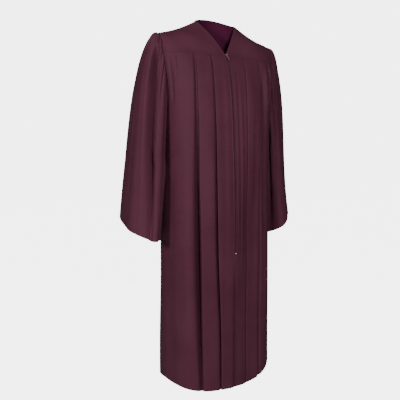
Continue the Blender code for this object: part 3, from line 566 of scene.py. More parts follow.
def backYokeGrid():
    share = yoke["shoulderShare"]
    sides = yoke["backColumns"] // 3
    shoulder = share * fineSteps(sides, 0.15, atEnd=False)
    us = np.concatenate((shoulder, np.linspace(share, 1 - share, sides + 2)[1:-1],
                         1 - shoulder[::-1]))
    vs = fineSteps(yoke["backRows"], 0.15)
    ring = BodyRing(robe["seamZ"]["back"], "back")
    end = ring.runAtDepth(armholeDepth(robe["seamZ"]["back"], "back"))

    def topPoint(u):
        if u <= share:
            return shoulderPoint(-1, 1 - u / share)
        if u >= 1 - share:
            return shoulderPoint(1, (u - 1 + share) / share)
        turn = math.pi * (u - share) / (1 - 2 * share)
        return np.array((-robe["neckHalfWidth"] * math.cos(turn),
                         robe["neckBackDepth"] * math.sin(turn),
                         robe["neckBackRise"] * math.sin(turn) ** yoke["neckCurvePower"]))

    def bottomPoints(places):
        run = (2 * places - 1) * end
        x, y = ring.point(np.abs(run), 0.0)
        return np.column_stack((np.copysign(x, run), y, np.full_like(x, robe["seamZ"]["back"])))

    top = np.array([topPoint(u) for u in us])
    bottom = bottomPoints(us)
    ends = bottomPoints(np.array((0.0, 1.0)))
    rims = [np.array([yokeRim(side, "back", v) for v in vs]) for side in (-1, 1)]
    inward = (1 - np.abs(2 * us - 1))[:, None]
    neckShare = smooth((inward - yoke["neckPullStart"]) / yoke["neckPullSpread"])
    leave = np.array(yoke["shoulderPull"]) * (1 - neckShare) + np.array(yoke["neckPull"]) * neckShare
    arrive = np.array(yoke["seamPull"])
    onRight = (us < 0.5)[:, None]
    cornerTop = np.where(onRight, topPoint(0.0), topPoint(1.0))
    cornerBottom = np.where(onRight, ends[0], ends[1])
    rows = []
    for k, v in enumerate(vs):
        plain = hermite(top, leave, bottom, arrive, v)
        plainRim = hermite(cornerTop, leave, cornerBottom, arrive, v)
        rim = np.where(onRight, rims[0][k], rims[1][k])
        rows.append(plain + (rim - plainRim) * (1 - smooth(inward / yoke["rimSpread"])))
    grid = np.array(rows)
    u, v = us[None, :, None], vs[:, None, None]
    free = smooth(u / 0.1) * smooth((1 - u) / 0.1) * smooth(v / 0.2) * smooth((1 - v) / 0.2)
    grid = grid + free * 0.8 * uneven(u * 0.45, v * 0.15, 3.3) * np.array((0.0, 1.0, 0.3))
    return tuckRims(clearSeams(grid, "back"), "back", ((0, 1), (-1, -2)))


# Cloth of the sleeves. Turns run round a sleeve from its outer side (0) through its front
# (90) to the side that faces the body (180), and down runs from the armhole (0) to the cuff (1).

sleeve = {
    "columns": 240,
    "rows": 128,
    "length": 0.66,
    "cuffCentre": (0.281, 0.055),
    "cuffHalfWidth": 0.051,
    "cuffHalfDepth": 0.124,
    "cuffZ": -0.739,
    "cuffOuterRise": {-1: 0.010, 1: 0.042},
    "cuffFrontDrop": {-1: 0.035, 1: -0.004},
    "headShift": 0.0004,
    "gatherPitch": 18.0,
    "gatherSpan": 81.0,
    "gatherHeight": 0.0030,
    "gatherRise": 0.05,
    "gatherFadeStart": 0.07,
    "gatherFade": 0.22,
    "foldsRise": 0.12,
    "fineFoldRise": 0.12,       # the share of a finer fold's length over which it rises, and ends
    "fineFoldEnd": 0.4,
    "secondGathers": (0.35, 4.6),
}

pullColumns = "even cosine sine cosineTwice front"
sleevePulls = dict(zip(("leaveOut", "leaveBack", "leaveUp", "arriveOut", "arriveBack", "arriveUp"),
                       namedRows(pullColumns, (
                           (0.145, 0.085, 0.0, 0.0, -0.09),
                           (0.05, 0.0, -0.05, 0.0, -0.04),
                           (-0.175, 0.07, 0.0, 0.125, 0.0),
                           (0.02, 0.03, 0.0, 0.0, 0.09),
                           (0.0, 0.0, -0.05, 0.0, 0.0),
                           (-0.70, 0.0, 0.0, 0.0, 0.0)))))

# Long folds: place and half width in degrees, and height at the head, elbow and cuff
sleeveFolds = namedRows("place width head elbow cuff", (
    (-62, 20, 0.000, 0.005, 0.007),
    (-25, 16, 0.004, 0.002, 0.001),
    (23, 18, 0.003, 0.013, 0.009),
    (52, 13, -0.002, -0.008, -0.007),
    (84, 14, 0.003, 0.007, -0.002),
    (124, 22, 0.000, 0.003, 0.000),
    (215, 20, 0.000, 0.005, 0.007),
    (255, 16, 0.000, -0.006, -0.008),
    (180, 24, 0.000, -0.002, -0.003)))

# Finer folds that leave the head: place at the head and foot in degrees, half width in
# degrees, where each starts and ends down the sleeve, and its height
fineFoldColumns = "top foot width start end height"
sleeveFineFolds = {
    -1: namedRows(fineFoldColumns, (
        (-48, -40, 5, 0.01, 0.34, 0.0020),
        (-20, -12, 5, 0.02, 0.46, -0.0018),
        (8, 10, 5, 0.01, 0.30, -0.0022),
        (26, 44, 4, 0.00, 0.11, -0.0060),
        (38, 56, 4, 0.00, 0.11, 0.0040),
        (30, 46, 6, 0.08, 1.20, 0.0050),
        (36, 74, 7, 0.06, 1.35, -0.0200),
        (58, 92, 9, 0.60, 1.30, -0.0150),
        (66, 76, 8, 0.05, 1.30, 0.0040),
        (76, 74, 4, 0.01, 0.44, -0.0030),
        (110, 122, 8, 0.02, 1.20, -0.0230),
        (122, 128, 15, 0.50, 1.60, 0.0080),
        (14, 4, 9, 0.40, 1.05, -0.0016),
        (-36, -30, 9, 0.34, 1.05, 0.0018),
        (200, 206, 8, 0.30, 1.05, 0.0020),
        (235, 230, 7, 0.10, 0.90, 0.0024),
        (280, 276, 7, 0.05, 0.70, -0.0026))),
    1: namedRows(fineFoldColumns, (
        (-52, -46, 5, 0.01, 0.40, -0.0020),
        (-28, -26, 5, 0.02, 0.36, 0.0020),
        (-4, 0, 5, 0.01, 0.52, -0.0020),
        (18, 20, 4, 0.01, 0.30, 0.0022),
        (38, 40, 5, 0.01, 0.66, -0.0034),
        (56, 60, 5, 0.01, 0.56, 0.0034),
        (74, 74, 4, 0.01, 0.50, -0.0036),
        (88, 86, 5, 0.01, 0.60, 0.0034),
        (100, 98, 4, 0.01, 0.56, -0.0038),
        (112, 110, 7, 0.01, 0.70, 0.0030),
        (126, 124, 4, 0.01, 0.50, -0.0034),
        (86, 88, 18, 0.10, 1.60, -0.0060),
        (150, 146, 24, 0.10, 1.60, 0.0090),
        (130, 144, 9, 0.05, 1.20, -0.0130),
        (62, 70, 8, 0.50, 1.20, -0.0050),
        (-12, -22, 9, 0.44, 1.05, 0.0018),
        (204, 212, 8, 0.28, 1.05, 0.0022),
        (238, 228, 7, 0.12, 0.86, -0.0022),
        (282, 280, 7, 0.05, 0.60, 0.0024))),
}


def roundSleeve(name, turns):
    pull = sleevePulls[name]
    return (pull["even"] + pull["cosine"] * np.cos(turns) + pull["sine"] * np.sin(turns)
            + pull["cosineTwice"] * np.cos(2 * turns) + pull["front"] * np.maximum(np.sin(turns), 0.0))


def turnsApart(degrees, place):
    return (degrees - place + 180) % 360 - 180


def sleeveFoldHeight(side, degrees, down):
    degrees, down = degrees[None, :], down[:, None]
    height = np.zeros((down.shape[0], degrees.shape[1]))
    for fold in sleeveFolds:
        upper = fold["head"] + (fold["elbow"] - fold["head"]) * smooth(down / 0.5)
        lower = fold["elbow"] + (fold["cuff"] - fold["elbow"]) * smooth((down - 0.5) / 0.5)
        size = np.where(down < 0.5, upper, lower)
        height += size * np.exp(-(turnsApart(degrees, fold["place"]) / fold["width"]) ** 2)
    height *= smooth(down / sleeve["foldsRise"])
    for fold in sleeveFineFolds[side]:
        share = (down - fold["start"]) / (fold["end"] - fold["start"])
        place = fold["top"] + (fold["foot"] - fold["top"]) * share
        fade = smooth(share / sleeve["fineFoldRise"]) * smooth((1 - share) / sleeve["fineFoldEnd"])
        height += fold["height"] * fade * np.exp(-(turnsApart(degrees, place) / fold["width"]) ** 2)
    turned = turnsApart(degrees, 0.0)
    wave = np.cos(2 * math.pi * turned / sleeve["gatherPitch"])
    size, pitch = sleeve["secondGathers"]
    wave += size * np.cos(pitch * math.pi * turned / sleeve["gatherPitch"] + side)
    fade = smooth(down / sleeve["gatherRise"])
    fade = fade * (1 - smooth((down - sleeve["gatherFadeStart"]) / sleeve["gatherFade"]))
    inside = np.clip(np.cos(math.pi / 2 * turned / sleeve["gatherSpan"]), 0.0, None) ** 0.5
    height += sleeve["gatherHeight"] * wave * fade * inside * (np.abs(turned) < sleeve["gatherSpan"])
    free = smooth(down / 0.1)
    return height + free * uneven(np.sin(np.radians(degrees)) * 0.1, down * 0.66, side * 1.7)


sleeveDegrees = np.arange(sleeve["columns"]) * 360.0 / sleeve["columns"]


def headDips():  # deep over the shoulder, and nearly plain under the arm
    turned = np.abs(turnsApart(sleeveDegrees, 0.0))
    start, spread = robe["headDipFade"]
    return robe["headDip"] * (1 - robe["headDipLost"] * smooth((turned - start) / spread))


def sleeveGrid(side):
    turns = np.radians(sleeveDegrees)
    down = fineSteps(sleeve["rows"], sleeve["length"])
    start = np.array([armholePoint(side, degree) for degree in sleeveDegrees])
    start[:, 0] += side * sleeve["headShift"]
    end = np.column_stack((
        side * (sleeve["cuffCentre"][0] + sleeve["cuffHalfWidth"] * np.cos(turns)),
        sleeve["cuffCentre"][1] - sleeve["cuffHalfDepth"] * np.sin(turns),
        sleeve["cuffZ"] + robe["cloth"] / 2 + sleeve["cuffOuterRise"][side] * np.cos(turns)
        - sleeve["cuffFrontDrop"][side] * np.sin(turns)))
    leave = np.column_stack((side * roundSleeve("leaveOut", turns),
                             roundSleeve("leaveBack", turns), roundSleeve("leaveUp", turns)))
    arrive = np.column_stack((side * roundSleeve("arriveOut", turns),
                              roundSleeve("arriveBack", turns), roundSleeve("arriveUp", turns)))
    plain = hermite(start[None], leave[None], end[None], arrive[None], down[:, None, None])
    along = np.roll(plain, -1, axis=1) - np.roll(plain, 1, axis=1)
    fall = np.gradient(plain, down, axis=0)
    out = unit(np.cross(fall, along) * -side)
    return plain + out * sleeveFoldHeight(side, sleeveDegrees, down)[..., None]


# Shader groups and materials

def addNode(tree, kind, place, **settings):
    node = tree.nodes.new(kind)
    node.location = place
    for name, value in settings.items():
        setattr(node, name, value)
    return node


def groupTree(name, inputs, outputs):
    tree = bpy.data.node_groups.new(name, "ShaderNodeTree")
    for label, kind, value in inputs:
        socket = tree.interface.new_socket(label, in_out="INPUT", socket_type=kind)
        if value is not None:
            socket.default_value = value
    for label, kind in outputs:
        tree.interface.new_socket(label, in_out="OUTPUT", socket_type=kind)
    return tree, addNode(tree, "NodeGroupInput", (-900, 0)), addNode(tree, "NodeGroupOutput", (700, 0))


def mathNode(tree, operation, place, first, second=None):
    node = addNode(tree, "ShaderNodeMath", place, operation=operation)
    for k, value in enumerate((first, second)):
        if value is None:
            continue
        if isinstance(value, (int, float)):
            node.inputs[k].default_value = value
        else:
            tree.links.new(value, node.inputs[k])
    return node.outputs[0]


def makeWeave():  # plain weave on a UV map in metres, with slubs along both threads
    tree, given, result = groupTree(
        "plainWeave",
        (("UV", "NodeSocketVector", None), ("Threads", "NodeSocketFloat", 2600.0),
         ("Slub", "NodeSocketFloat", 0.5)),
        (("Height", "NodeSocketFloat"), ("Streak", "NodeSocketFloat")))
    split = addNode(tree, "ShaderNodeSeparateXYZ", (-700, 100))
    tree.links.new(given.outputs["UV"], split.inputs[0])
    threads = mathNode(tree, "MULTIPLY", (-700, -100), given.outputs["Threads"], math.pi)
    across = mathNode(tree, "MULTIPLY", (-520, 160), split.outputs["X"], threads)
    along = mathNode(tree, "MULTIPLY", (-520, 0), split.outputs["Y"], threads)
    warp = mathNode(tree, "ABSOLUTE", (-200, 160), mathNode(tree, "SINE", (-360, 160), across))
    weft = mathNode(tree, "ABSOLUTE", (-200, 0), mathNode(tree, "SINE", (-360, 0), along))
    overWarp = mathNode(tree, "SINE", (-360, -160), across)
    overWeft = mathNode(tree, "SINE", (-360, -300), along)
    over = mathNode(tree, "GREATER_THAN", (0, -200),
                    mathNode(tree, "MULTIPLY", (-180, -220), overWarp, overWeft), 0.0)
    pick = addNode(tree, "ShaderNodeMix", (180, 60), data_type="FLOAT")
    tree.links.new(over, pick.inputs[0])
    tree.links.new(warp, pick.inputs[2])
    tree.links.new(weft, pick.inputs[3])
    streaks = []
    for k, scale in enumerate(((900.0, 14.0, 1.0), (16.0, 700.0, 1.0))):
        stretch = addNode(tree, "ShaderNodeVectorMath", (-520, -460 - 220 * k), operation="MULTIPLY")
        tree.links.new(given.outputs["UV"], stretch.inputs[0])
        stretch.inputs[1].default_value = scale
        noise = addNode(tree, "ShaderNodeTexNoise", (-320, -460 - 220 * k))
        noise.inputs["Scale"].default_value = 1.0
        noise.inputs["Detail"].default_value = 2.0
        tree.links.new(stretch.outputs[0], noise.inputs["Vector"])
        streaks.append(noise.outputs["Fac"])
    streak = mathNode(tree, "ADD", (0, -460), streaks[0], streaks[1])
    streak = mathNode(tree, "SUBTRACT", (160, -460), streak, 1.0)
    streak = mathNode(tree, "MULTIPLY", (320, -460), streak, given.outputs["Slub"])
    tree.links.new(mathNode(tree, "ADD", (420, 40), pick.outputs[0], streak), result.inputs["Height"])
    tree.links.new(streak, result.inputs["Streak"])
    return tree


def makeMottle():  # slow changes of tone over a surface, and a value for its roughness
    tree, given, result = groupTree(
        "mottle",
        (("Vector", "NodeSocketVector", None), ("Scale", "NodeSocketFloat", 6.0),
         ("Dark", "NodeSocketColor", (0.05, 0.02, 0.03, 1.0)),
         ("Light", "NodeSocketColor", (0.07, 0.03, 0.04, 1.0)),
         ("Shift", "NodeSocketFloat", 0.0), ("Smooth", "NodeSocketFloat", 0.5),
         ("Rough", "NodeSocketFloat", 0.7)),
        (("Color", "NodeSocketColor"), ("Roughness", "NodeSocketFloat")))
    noise = addNode(tree, "ShaderNodeTexNoise", (-640, 60))
    noise.inputs["Detail"].default_value = 4.0
    noise.inputs["Roughness"].default_value = 0.55
    tree.links.new(given.outputs["Vector"], noise.inputs["Vector"])
    tree.links.new(given.outputs["Scale"], noise.inputs["Scale"])
    level = mathNode(tree, "ADD", (-420, 60), noise.outputs["Fac"], given.outputs["Shift"])
    spread = addNode(tree, "ShaderNodeMapRange", (-220, 60))
    spread.inputs["From Min"].default_value = 0.32
    spread.inputs["From Max"].default_value = 0.68
    tree.links.new(level, spread.inputs["Value"])
    tone = addNode(tree, "ShaderNodeMix", (60, 120), data_type="RGBA")
    tree.links.new(spread.outputs[0], tone.inputs[0])
    tree.links.new(given.outputs["Dark"], tone.inputs[6])
    tree.links.new(given.outputs["Light"], tone.inputs[7])
    tree.links.new(tone.outputs[2], result.inputs["Color"])
    gloss = addNode(tree, "ShaderNodeMix", (60, -140), data_type="FLOAT")
    tree.links.new(spread.outputs[0], gloss.inputs[0])
    tree.links.new(given.outputs["Smooth"], gloss.inputs[2])
    tree.links.new(given.outputs["Rough"], gloss.inputs[3])
    tree.links.new(gloss.outputs[0], result.inputs["Roughness"])
    return tree


weave = makeWeave()
mottle = makeMottle()


def startMaterial(name):
    material = bpy.data.materials.new(name)
    material.use_nodes = True
    tree = material.node_tree
    return material, tree, tree.nodes["Principled BSDF"]


def placeGroup(tree, group, place, **values):
    node = addNode(tree, "ShaderNodeGroup", place, node_tree=group)
    for label, value in values.items():
        node.inputs[label].default_value = value
    return node


def addBump(tree, shader, height, strength, distance):
    bump = addNode(tree, "ShaderNodeBump", (-220, -300))
    bump.inputs["Strength"].default_value = strength
    bump.inputs["Distance"].default_value = distance
    tree.links.new(height, bump.inputs["Height"])
    tree.links.new(bump.outputs[0], shader.inputs["Normal"])


def clothMaterial(name, dark, light, sheen, specular=0.10, threads=2600.0, bump=0.35, roughness=(0.58, 0.74)):
    material, tree, shader = startMaterial(name)
    spot = addNode(tree, "ShaderNodeTexCoord", (-1100, 100))
    uv = addNode(tree, "ShaderNodeUVMap", (-1100, -200), uv_map="cloth")
    threadsNode = placeGroup(tree, weave, (-860, -200), Threads=threads, Slub=0.5)
    tree.links.new(uv.outputs[0], threadsNode.inputs["UV"])
    tone = placeGroup(tree, mottle, (-560, 60), Scale=5.0, Dark=dark, Light=light,
                      Smooth=roughness[0], Rough=roughness[1])
    tree.links.new(spot.outputs["Object"], tone.inputs["Vector"])
    tree.links.new(threadsNode.outputs["Streak"], tone.inputs["Shift"])
    tree.links.new(tone.outputs["Color"], shader.inputs["Base Color"])
    tree.links.new(tone.outputs["Roughness"], shader.inputs["Roughness"])
    addBump(tree, shader, threadsNode.outputs["Height"], bump, 0.00012)
    shader.inputs["Specular IOR Level"].default_value = specular
    shader.inputs["Sheen Weight"].default_value = sheen
    shader.inputs["Sheen Roughness"].default_value = 0.42
    shader.inputs["Sheen Tint"].default_value = (0.78, 0.48, 0.56, 1.0)
    return material


def hardMaterial(name, dark, light, roughness, metallic, coat, scale, bump):
    material, tree, shader = startMaterial(name)
    spot = addNode(tree, "ShaderNodeTexCoord", (-900, 100))
    tone = placeGroup(tree, mottle, (-560, 60), Scale=scale, Dark=dark, Light=light,
                      Smooth=roughness[0], Rough=roughness[1])
    tree.links.new(spot.outputs["Object"], tone.inputs["Vector"])
    tree.links.new(tone.outputs["Color"], shader.inputs["Base Color"])
    tree.links.new(tone.outputs["Roughness"], shader.inputs["Roughness"])
    grain = addNode(tree, "ShaderNodeTexNoise", (-560, -300))
    grain.inputs["Scale"].default_value = scale * 6
    tree.links.new(spot.outputs["Object"], grain.inputs["Vector"])
    addBump(tree, shader, grain.outputs["Fac"], bump, 0.0001)
    shader.inputs["Metallic"].default_value = metallic
    shader.inputs["Coat Weight"].default_value = coat
    shader.inputs["Coat Roughness"].default_value = 0.25
    return material


finishes = {
    "cloth": clothMaterial("maroonCloth", (0.075, 0.0195, 0.0350, 1.0), (0.092, 0.0255, 0.0440, 1.0), 0.03),
    "inside": clothMaterial("maroonClothInside", (0.070, 0.0066, 0.0330, 1.0),
                            (0.080, 0.0088, 0.0395, 1.0), 0.03),
    "tape": clothMaterial("zipTapeWeave", (0.040, 0.0100, 0.018, 1.0), (0.052, 0.0140, 0.024, 1.0),
                          0.08, threads=1400.0, bump=0.6),
    "thread": hardMaterial("maroonThread", (0.088, 0.030, 0.044, 1.0), (0.118, 0.042, 0.060, 1.0),
                           (0.45, 0.65), 0.0, 0.0, 900.0, 0.4),
    "teeth": hardMaterial("zipTeethNylon", (0.050, 0.014, 0.022, 1.0), (0.066, 0.020, 0.030, 1.0),
                          (0.35, 0.50), 0.0, 0.0, 300.0, 0.15),
    # painted highlight: the slider and pull are maroon enamel, but their colour is a light pinkish one that
    # stands in for their bright highlights; the metal and coat shine is real
    "slider": hardMaterial("sliderEnamelPaintedHighlight", (0.300, 0.130, 0.180, 1.0), (0.420, 0.200, 0.270, 1.0),
                           (0.22, 0.34), 0.55, 0.6, 500.0, 0.12),
    # painted highlight: the end stop's pale pinkish white colour stands in for the bright highlight on its
    # bead
    "stop": hardMaterial("stopEnamelPaintedHighlight", (0.620, 0.420, 0.480, 1.0), (0.740, 0.540, 0.600, 1.0),
                         (0.18, 0.30), 0.30, 0.8, 600.0, 0.10),
}
print("materials made:", len(finishes))


# Cloth pieces

clothSurfaces = {}


def padEnds(grid, axis, reach):  # one more row past each end, where the two faces meet
    first = np.take(grid, [0], axis)
    second = np.take(grid, [1], axis)
    last = np.take(grid, [-1], axis)
    beforeLast = np.take(grid, [-2], axis)
    return np.concatenate((first + unit(first - second) * reach, grid,
                           last + unit(last - beforeLast) * reach), axis=axis)


def lengthAlong(grid, axis, closed=False):
    if closed:
        grid = np.concatenate((grid, np.take(grid, [0], axis)), axis=axis)
    steps = np.linalg.norm(np.diff(grid, axis=axis), axis=-1)
    zero = np.zeros_like(np.take(steps, [0], axis))
    return np.concatenate((zero, np.cumsum(steps, axis=axis)), axis=axis)


def clothPiece(name, grid, outward, materials, thickness=robe["cloth"], closed=False,
               rolled=(), roll=robe["seamRoll"], dip=robe["seamDip"], turnedUp=0.0):
    half = thickness / 2
    grid = padEnds(grid, 0, half)
    outward = np.concatenate((outward[:1], outward, outward[-1:]))
    if not closed:
        grid = padEnds(grid, 1, half)
        outward = np.concatenate((outward[:, :1], outward, outward[:, -1:]), axis=1)
    rows, columns = grid.shape[:2]
    if closed:
        across = np.roll(grid, -1, axis=1) - np.roll(grid, 1, axis=1)
    else:
        steps = unit(np.diff(grid, axis=1))
        across = np.concatenate((steps[:, :1], steps[:, 1:] + steps[:, :-1], steps[:, -1:]), axis=1)
    steps = unit(np.diff(grid, axis=0))
    fall = np.concatenate((steps[:1], steps[1:] + steps[:-1], steps[-1:]), axis=0)
    normals = unit(np.cross(unit(across), unit(fall)))
    sign = 1.0 if np.sum(normals * outward) > 0 else -1.0
    out = normals * sign
    across = lengthAlong(grid, 1, closed)
    down = lengthAlong(grid, 0)
    fromEdge = {"top": down, "foot": down[-1:] - down}
    if not closed:
        fromEdge["start"] = across
        fromEdge["end"] = across[:, -1:] - across
    sunk = np.zeros((rows, columns))
    for edge in rolled:
        sunk = np.maximum(sunk, np.exp(-(fromEdge[edge][:rows, :columns] / roll) ** 2))
    grid = grid - out * (sunk * dip)[..., None]
    cover = np.full((rows, columns), half)
    cover[[0, -1]] = 0.0
    if not closed:
        cover[:, [0, -1]] = 0.0
    under = cover.copy()
    if turnedUp:
        under += (cover > 0) * robe["hemFold"] * (
            1 - smooth((fromEdge["foot"] - turnedUp) / robe["hemFoldEnd"]))
    outer = grid + out * cover[..., None]
    inner = grid - out * under[..., None]
    outerIndex = np.arange(rows * columns).reshape(rows, columns)
    innerIndex = outerIndex.copy()
    own = cover > 0
    innerIndex[own] = rows * columns + np.arange(own.sum())
    points = np.concatenate((outer.reshape(-1, 3), inner[own]))
    r = np.arange(rows - 1)[:, None]
    c = np.arange(columns if closed else columns - 1)[None, :]
    places = ((r, c), (r, c + 1), (r + 1, c + 1), (r + 1, c))
    order = places if sign > 0 else places[::-1]

    def quads(index, corners):
        return np.stack([index[a + 0 * b, (b + 0 * a) % columns] for a, b in corners], -1).reshape(-1, 4)

    def quadUv(corners):
        flat = [np.stack((across[a + 0 * b, b + 0 * a], -down[a + 0 * b, (b + 0 * a) % columns]), -1)
                for a, b in corners]
        return np.stack(flat, 2).reshape(-1, 2)

    backOrder = order[::-1]
    faces = np.concatenate((quads(outerIndex, order), quads(innerIndex, backOrder)))
    uvs = np.concatenate((quadUv(order), quadUv(backOrder)))
    mesh = bpy.data.meshes.new(name)
    mesh.from_pydata(points.tolist(), [], faces.tolist())
    layer = mesh.uv_layers.new(name="cloth")
    layer.data.foreach_set("uv", uvs.astype(np.float32).ravel())
    for material in materials:
        mesh.materials.append(material)
    insides = np.full((rows - 1, c.size), len(materials) - 1)
    insides[[0, 1, -2, -1]] = 0     # the outside's colour turns a little way in at each edge
    sides = np.concatenate((np.zeros(insides.size), insides.ravel())).astype(np.int32)
    mesh.polygons.foreach_set("material_index", sides)
    mesh.shade_smooth()
    mesh.update()
    piece = bpy.data.objects.new(name, mesh)
    bpy.context.scene.collection.objects.link(piece)
    sideOne = np.linalg.norm(np.cross(grid[1:, 1:] - grid[:-1, :-1], grid[1:, :-1] - grid[:-1, 1:]),
                             axis=-1).sum() / 2
    clothSurfaces[name] = {"outer": outer, "out": out, "down": down, "width": across[:, -1].max(),
                           "length": down[-1].max(), "area": sideOne, "closed": closed}
    return piece


def aroundBody(grid):
    return grid * np.array((1.0, 1.0, 0.0))


def aboveChest(grid):
    return grid - np.array((0.0, 0.0, -0.25))


clothPair = (finishes["cloth"], finishes["inside"])
sideWords = {-1: "Right", 1: "Left"}
nodeWords = {-1: "right", 1: "left"}
clothPieces = {}

frontHeights = panelHeights(robe["seamZ"]["front"], 150)
backHeights = panelHeights(robe["seamZ"]["back"], 146)
for side in (-1, 1):
    grid = np.array([panelPoints(side, "front", z) for z in frontHeights])
    clothPieces["front_panel_" + nodeWords[side]] = clothPiece(
        "frontPanel" + sideWords[side], grid, aroundBody(grid), clothPair,
        rolled=("top", "end"), turnedUp=stitch["hemInset"] + stitch["turnPast"])
halves = [[panelPoints(side, "back", z) for z in backHeights] for side in (-1, 1)]
grid = np.array([np.concatenate((right[::-1], left[1:])) for right, left in zip(*halves)])
clothPieces["back_panel"] = clothPiece("backPanel", grid, aroundBody(grid), clothPair,
                                       rolled=("top", "start", "end"),
                                       turnedUp=stitch["hemInset"] + stitch["turnPast"])
print("panels made")

for side in (-1, 1):
    grid = frontYokeGrid(side)
    clothPieces["front_yoke_" + nodeWords[side]] = clothPiece(
        "frontYoke" + sideWords[side], grid, aboveChest(grid), clothPair,
        rolled=("top", "foot", "end"))
grid = backYokeGrid()
clothPieces["back_yoke"] = clothPiece("backYoke", grid, aboveChest(grid), clothPair,
                                      rolled=("foot", "start", "end"))
print("yokes made")

for side in (-1, 1):
    grid = sleeveGrid(side)
    clothPieces["sleeve_" + nodeWords[side]] = clothPiece(
        "sleeve" + sideWords[side], grid, grid - grid.mean(axis=1, keepdims=True), clothPair,
        closed=True, rolled=("top",), roll=robe["headRoll"], dip=headDips(),
        turnedUp=stitch["cuffInset"] + stitch["turnPast"])
print("sleeves made")


def tapeGrid(side):
    rows = []
    for z in np.linspace(zipper["topZ"], zipper["endZ"], 140):
        ring = BodyRing(z, "front")
        run = zipper["tapeInner"] + np.linspace(0.0, zipper["tapeWidth"], 7)
        tuck = zipper["tapeTuck"] * (1 - float(smooth((zipper["topZ"] - z) / zipper["tapeTuckEnd"])))
        x, y = ring.point(run, -zipper["tapeBehind"] - tuck)
        rows.append(np.column_stack((side * x, y, np.full_like(x, z))))
    return np.array(rows)


for side in (-1, 1):
    grid = tapeGrid(side)
    clothPieces["zip_tape_" + nodeWords[side]] = clothPiece(
        "zipTape" + sideWords[side], grid, aroundBody(grid), (finishes["tape"],),
        thickness=zipper["tapeThickness"])


# Stitches and zip teeth: small blocks set along a path by Geometry Nodes

def makePathTree():
    tree = bpy.data.node_groups.new("blocksAlongPath", "GeometryNodeTree")
    face = tree.interface
    face.new_socket("Geometry", in_out="INPUT", socket_type="NodeSocketGeometry")
    for label, kind, value in (("Spacing", "NodeSocketFloat", 0.003),
                               ("Size", "NodeSocketVector", (0.001, 0.001, 0.002)),
                               ("Roundness", "NodeSocketFloat", 0.4),
                               ("Material", "NodeSocketMaterial", None)):
        socket = face.new_socket(label, in_out="INPUT", socket_type=kind)
        if value is not None:
            socket.default_value = value
    face.new_socket("Geometry", in_out="OUTPUT", socket_type="NodeSocketGeometry")
    given = addNode(tree, "NodeGroupInput", (-1000, 0))
    result = addNode(tree, "NodeGroupOutput", (1100, 0))
    curve = addNode(tree, "GeometryNodeMeshToCurve", (-780, 120))
    spaced = addNode(tree, "GeometryNodeResampleCurve", (-580, 120), mode="LENGTH")
    tree.links.new(given.outputs["Geometry"], curve.inputs[0])
    tree.links.new(curve.outputs[0], spaced.inputs["Curve"])
    tree.links.new(given.outputs["Spacing"], spaced.inputs["Length"])
    block = addNode(tree, "GeometryNodeMeshCube", (-780, -160))
    tree.links.new(given.outputs["Size"], block.inputs["Size"])
    soft = addNode(tree, "GeometryNodeSubdivisionSurface", (-560, -160))
    soft.inputs["Level"].default_value = 1
    crease = addNode(tree, "ShaderNodeMath", (-760, -360), operation="SUBTRACT")
    crease.inputs[0].default_value = 1.0
    tree.links.new(given.outputs["Roundness"], crease.inputs[1])
    tree.links.new(crease.outputs[0], soft.inputs["Edge Crease"])
    tree.links.new(block.outputs["Mesh"], soft.inputs["Mesh"])
    tangent = addNode(tree, "GeometryNodeInputTangent", (-400, -420))
    outward = addNode(tree, "GeometryNodeInputNamedAttribute", (-400, -560), data_type="FLOAT_VECTOR")
    outward.inputs["Name"].default_value = "outward"
    alongPath = addNode(tree, "FunctionNodeAlignRotationToVector", (-180, -360), axis="Z")
    faceOut = addNode(tree, "FunctionNodeAlignRotationToVector", (40, -360), axis="Y", pivot_axis="Z")
    tree.links.new(tangent.outputs[0], alongPath.inputs["Vector"])
    tree.links.new(alongPath.outputs[0], faceOut.inputs["Rotation"])
    tree.links.new(outward.outputs["Attribute"], faceOut.inputs["Vector"])
    place = addNode(tree, "GeometryNodeInstanceOnPoints", (300, 80))
    tree.links.new(spaced.outputs[0], place.inputs["Points"])
    tree.links.new(soft.outputs[0], place.inputs["Instance"])
    tree.links.new(faceOut.outputs[0], place.inputs["Rotation"])
    real = addNode(tree, "GeometryNodeRealizeInstances", (500, 80))
    shaded = addNode(tree, "GeometryNodeSetShadeSmooth", (680, 80))
    painted = addNode(tree, "GeometryNodeSetMaterial", (880, 80))
    tree.links.new(place.outputs[0], real.inputs[0])
    tree.links.new(real.outputs[0], shaded.inputs[0])
    tree.links.new(shaded.outputs[0], painted.inputs["Geometry"])
    tree.links.new(given.outputs["Material"], painted.inputs["Material"])
    tree.links.new(painted.outputs[0], result.inputs[0])
    return tree


pathTree = makePathTree()


def blocksAlong(name, paths, spacing, size, roundness, material):
    # paths are (points, outward vectors) pairs
    mesh = bpy.data.meshes.new(name + "Path")
    points, outs, edges = [], [], []
    for line, out in paths:
        start = len(points)
        points += [tuple(point) for point in line]
        outs += [tuple(vector) for vector in out]
        edges += [(start + k, start + k + 1) for k in range(len(line) - 1)]
    mesh.from_pydata(points, edges, [])
    attribute = mesh.attributes.new("outward", "FLOAT_VECTOR", "POINT")
    attribute.data.foreach_set("vector", np.array(outs, dtype=np.float32).ravel())
    path = bpy.data.objects.new(name + "Path", mesh)
    bpy.context.scene.collection.objects.link(path)
    modifier = path.modifiers.new("blocks", "NODES")
    modifier.node_group = pathTree
    wanted = {"Spacing": spacing, "Size": size, "Roundness": roundness, "Material": material}
    for item in pathTree.interface.items_tree:
        if item.item_type == "SOCKET" and item.in_out == "INPUT" and item.name in wanted:
            modifier[item.identifier] = wanted[item.name]
    depsgraph = bpy.context.evaluated_depsgraph_get()
    made = bpy.data.meshes.new_from_object(path.evaluated_get(depsgraph), depsgraph=depsgraph)
    bpy.data.objects.remove(path, do_unlink=True)
    bpy.data.meshes.remove(mesh)
    made.name = name
    if not made.materials:
        made.materials.append(material)
    piece = bpy.data.objects.new(name, made)
    bpy.context.scene.collection.objects.link(piece)
    return piece


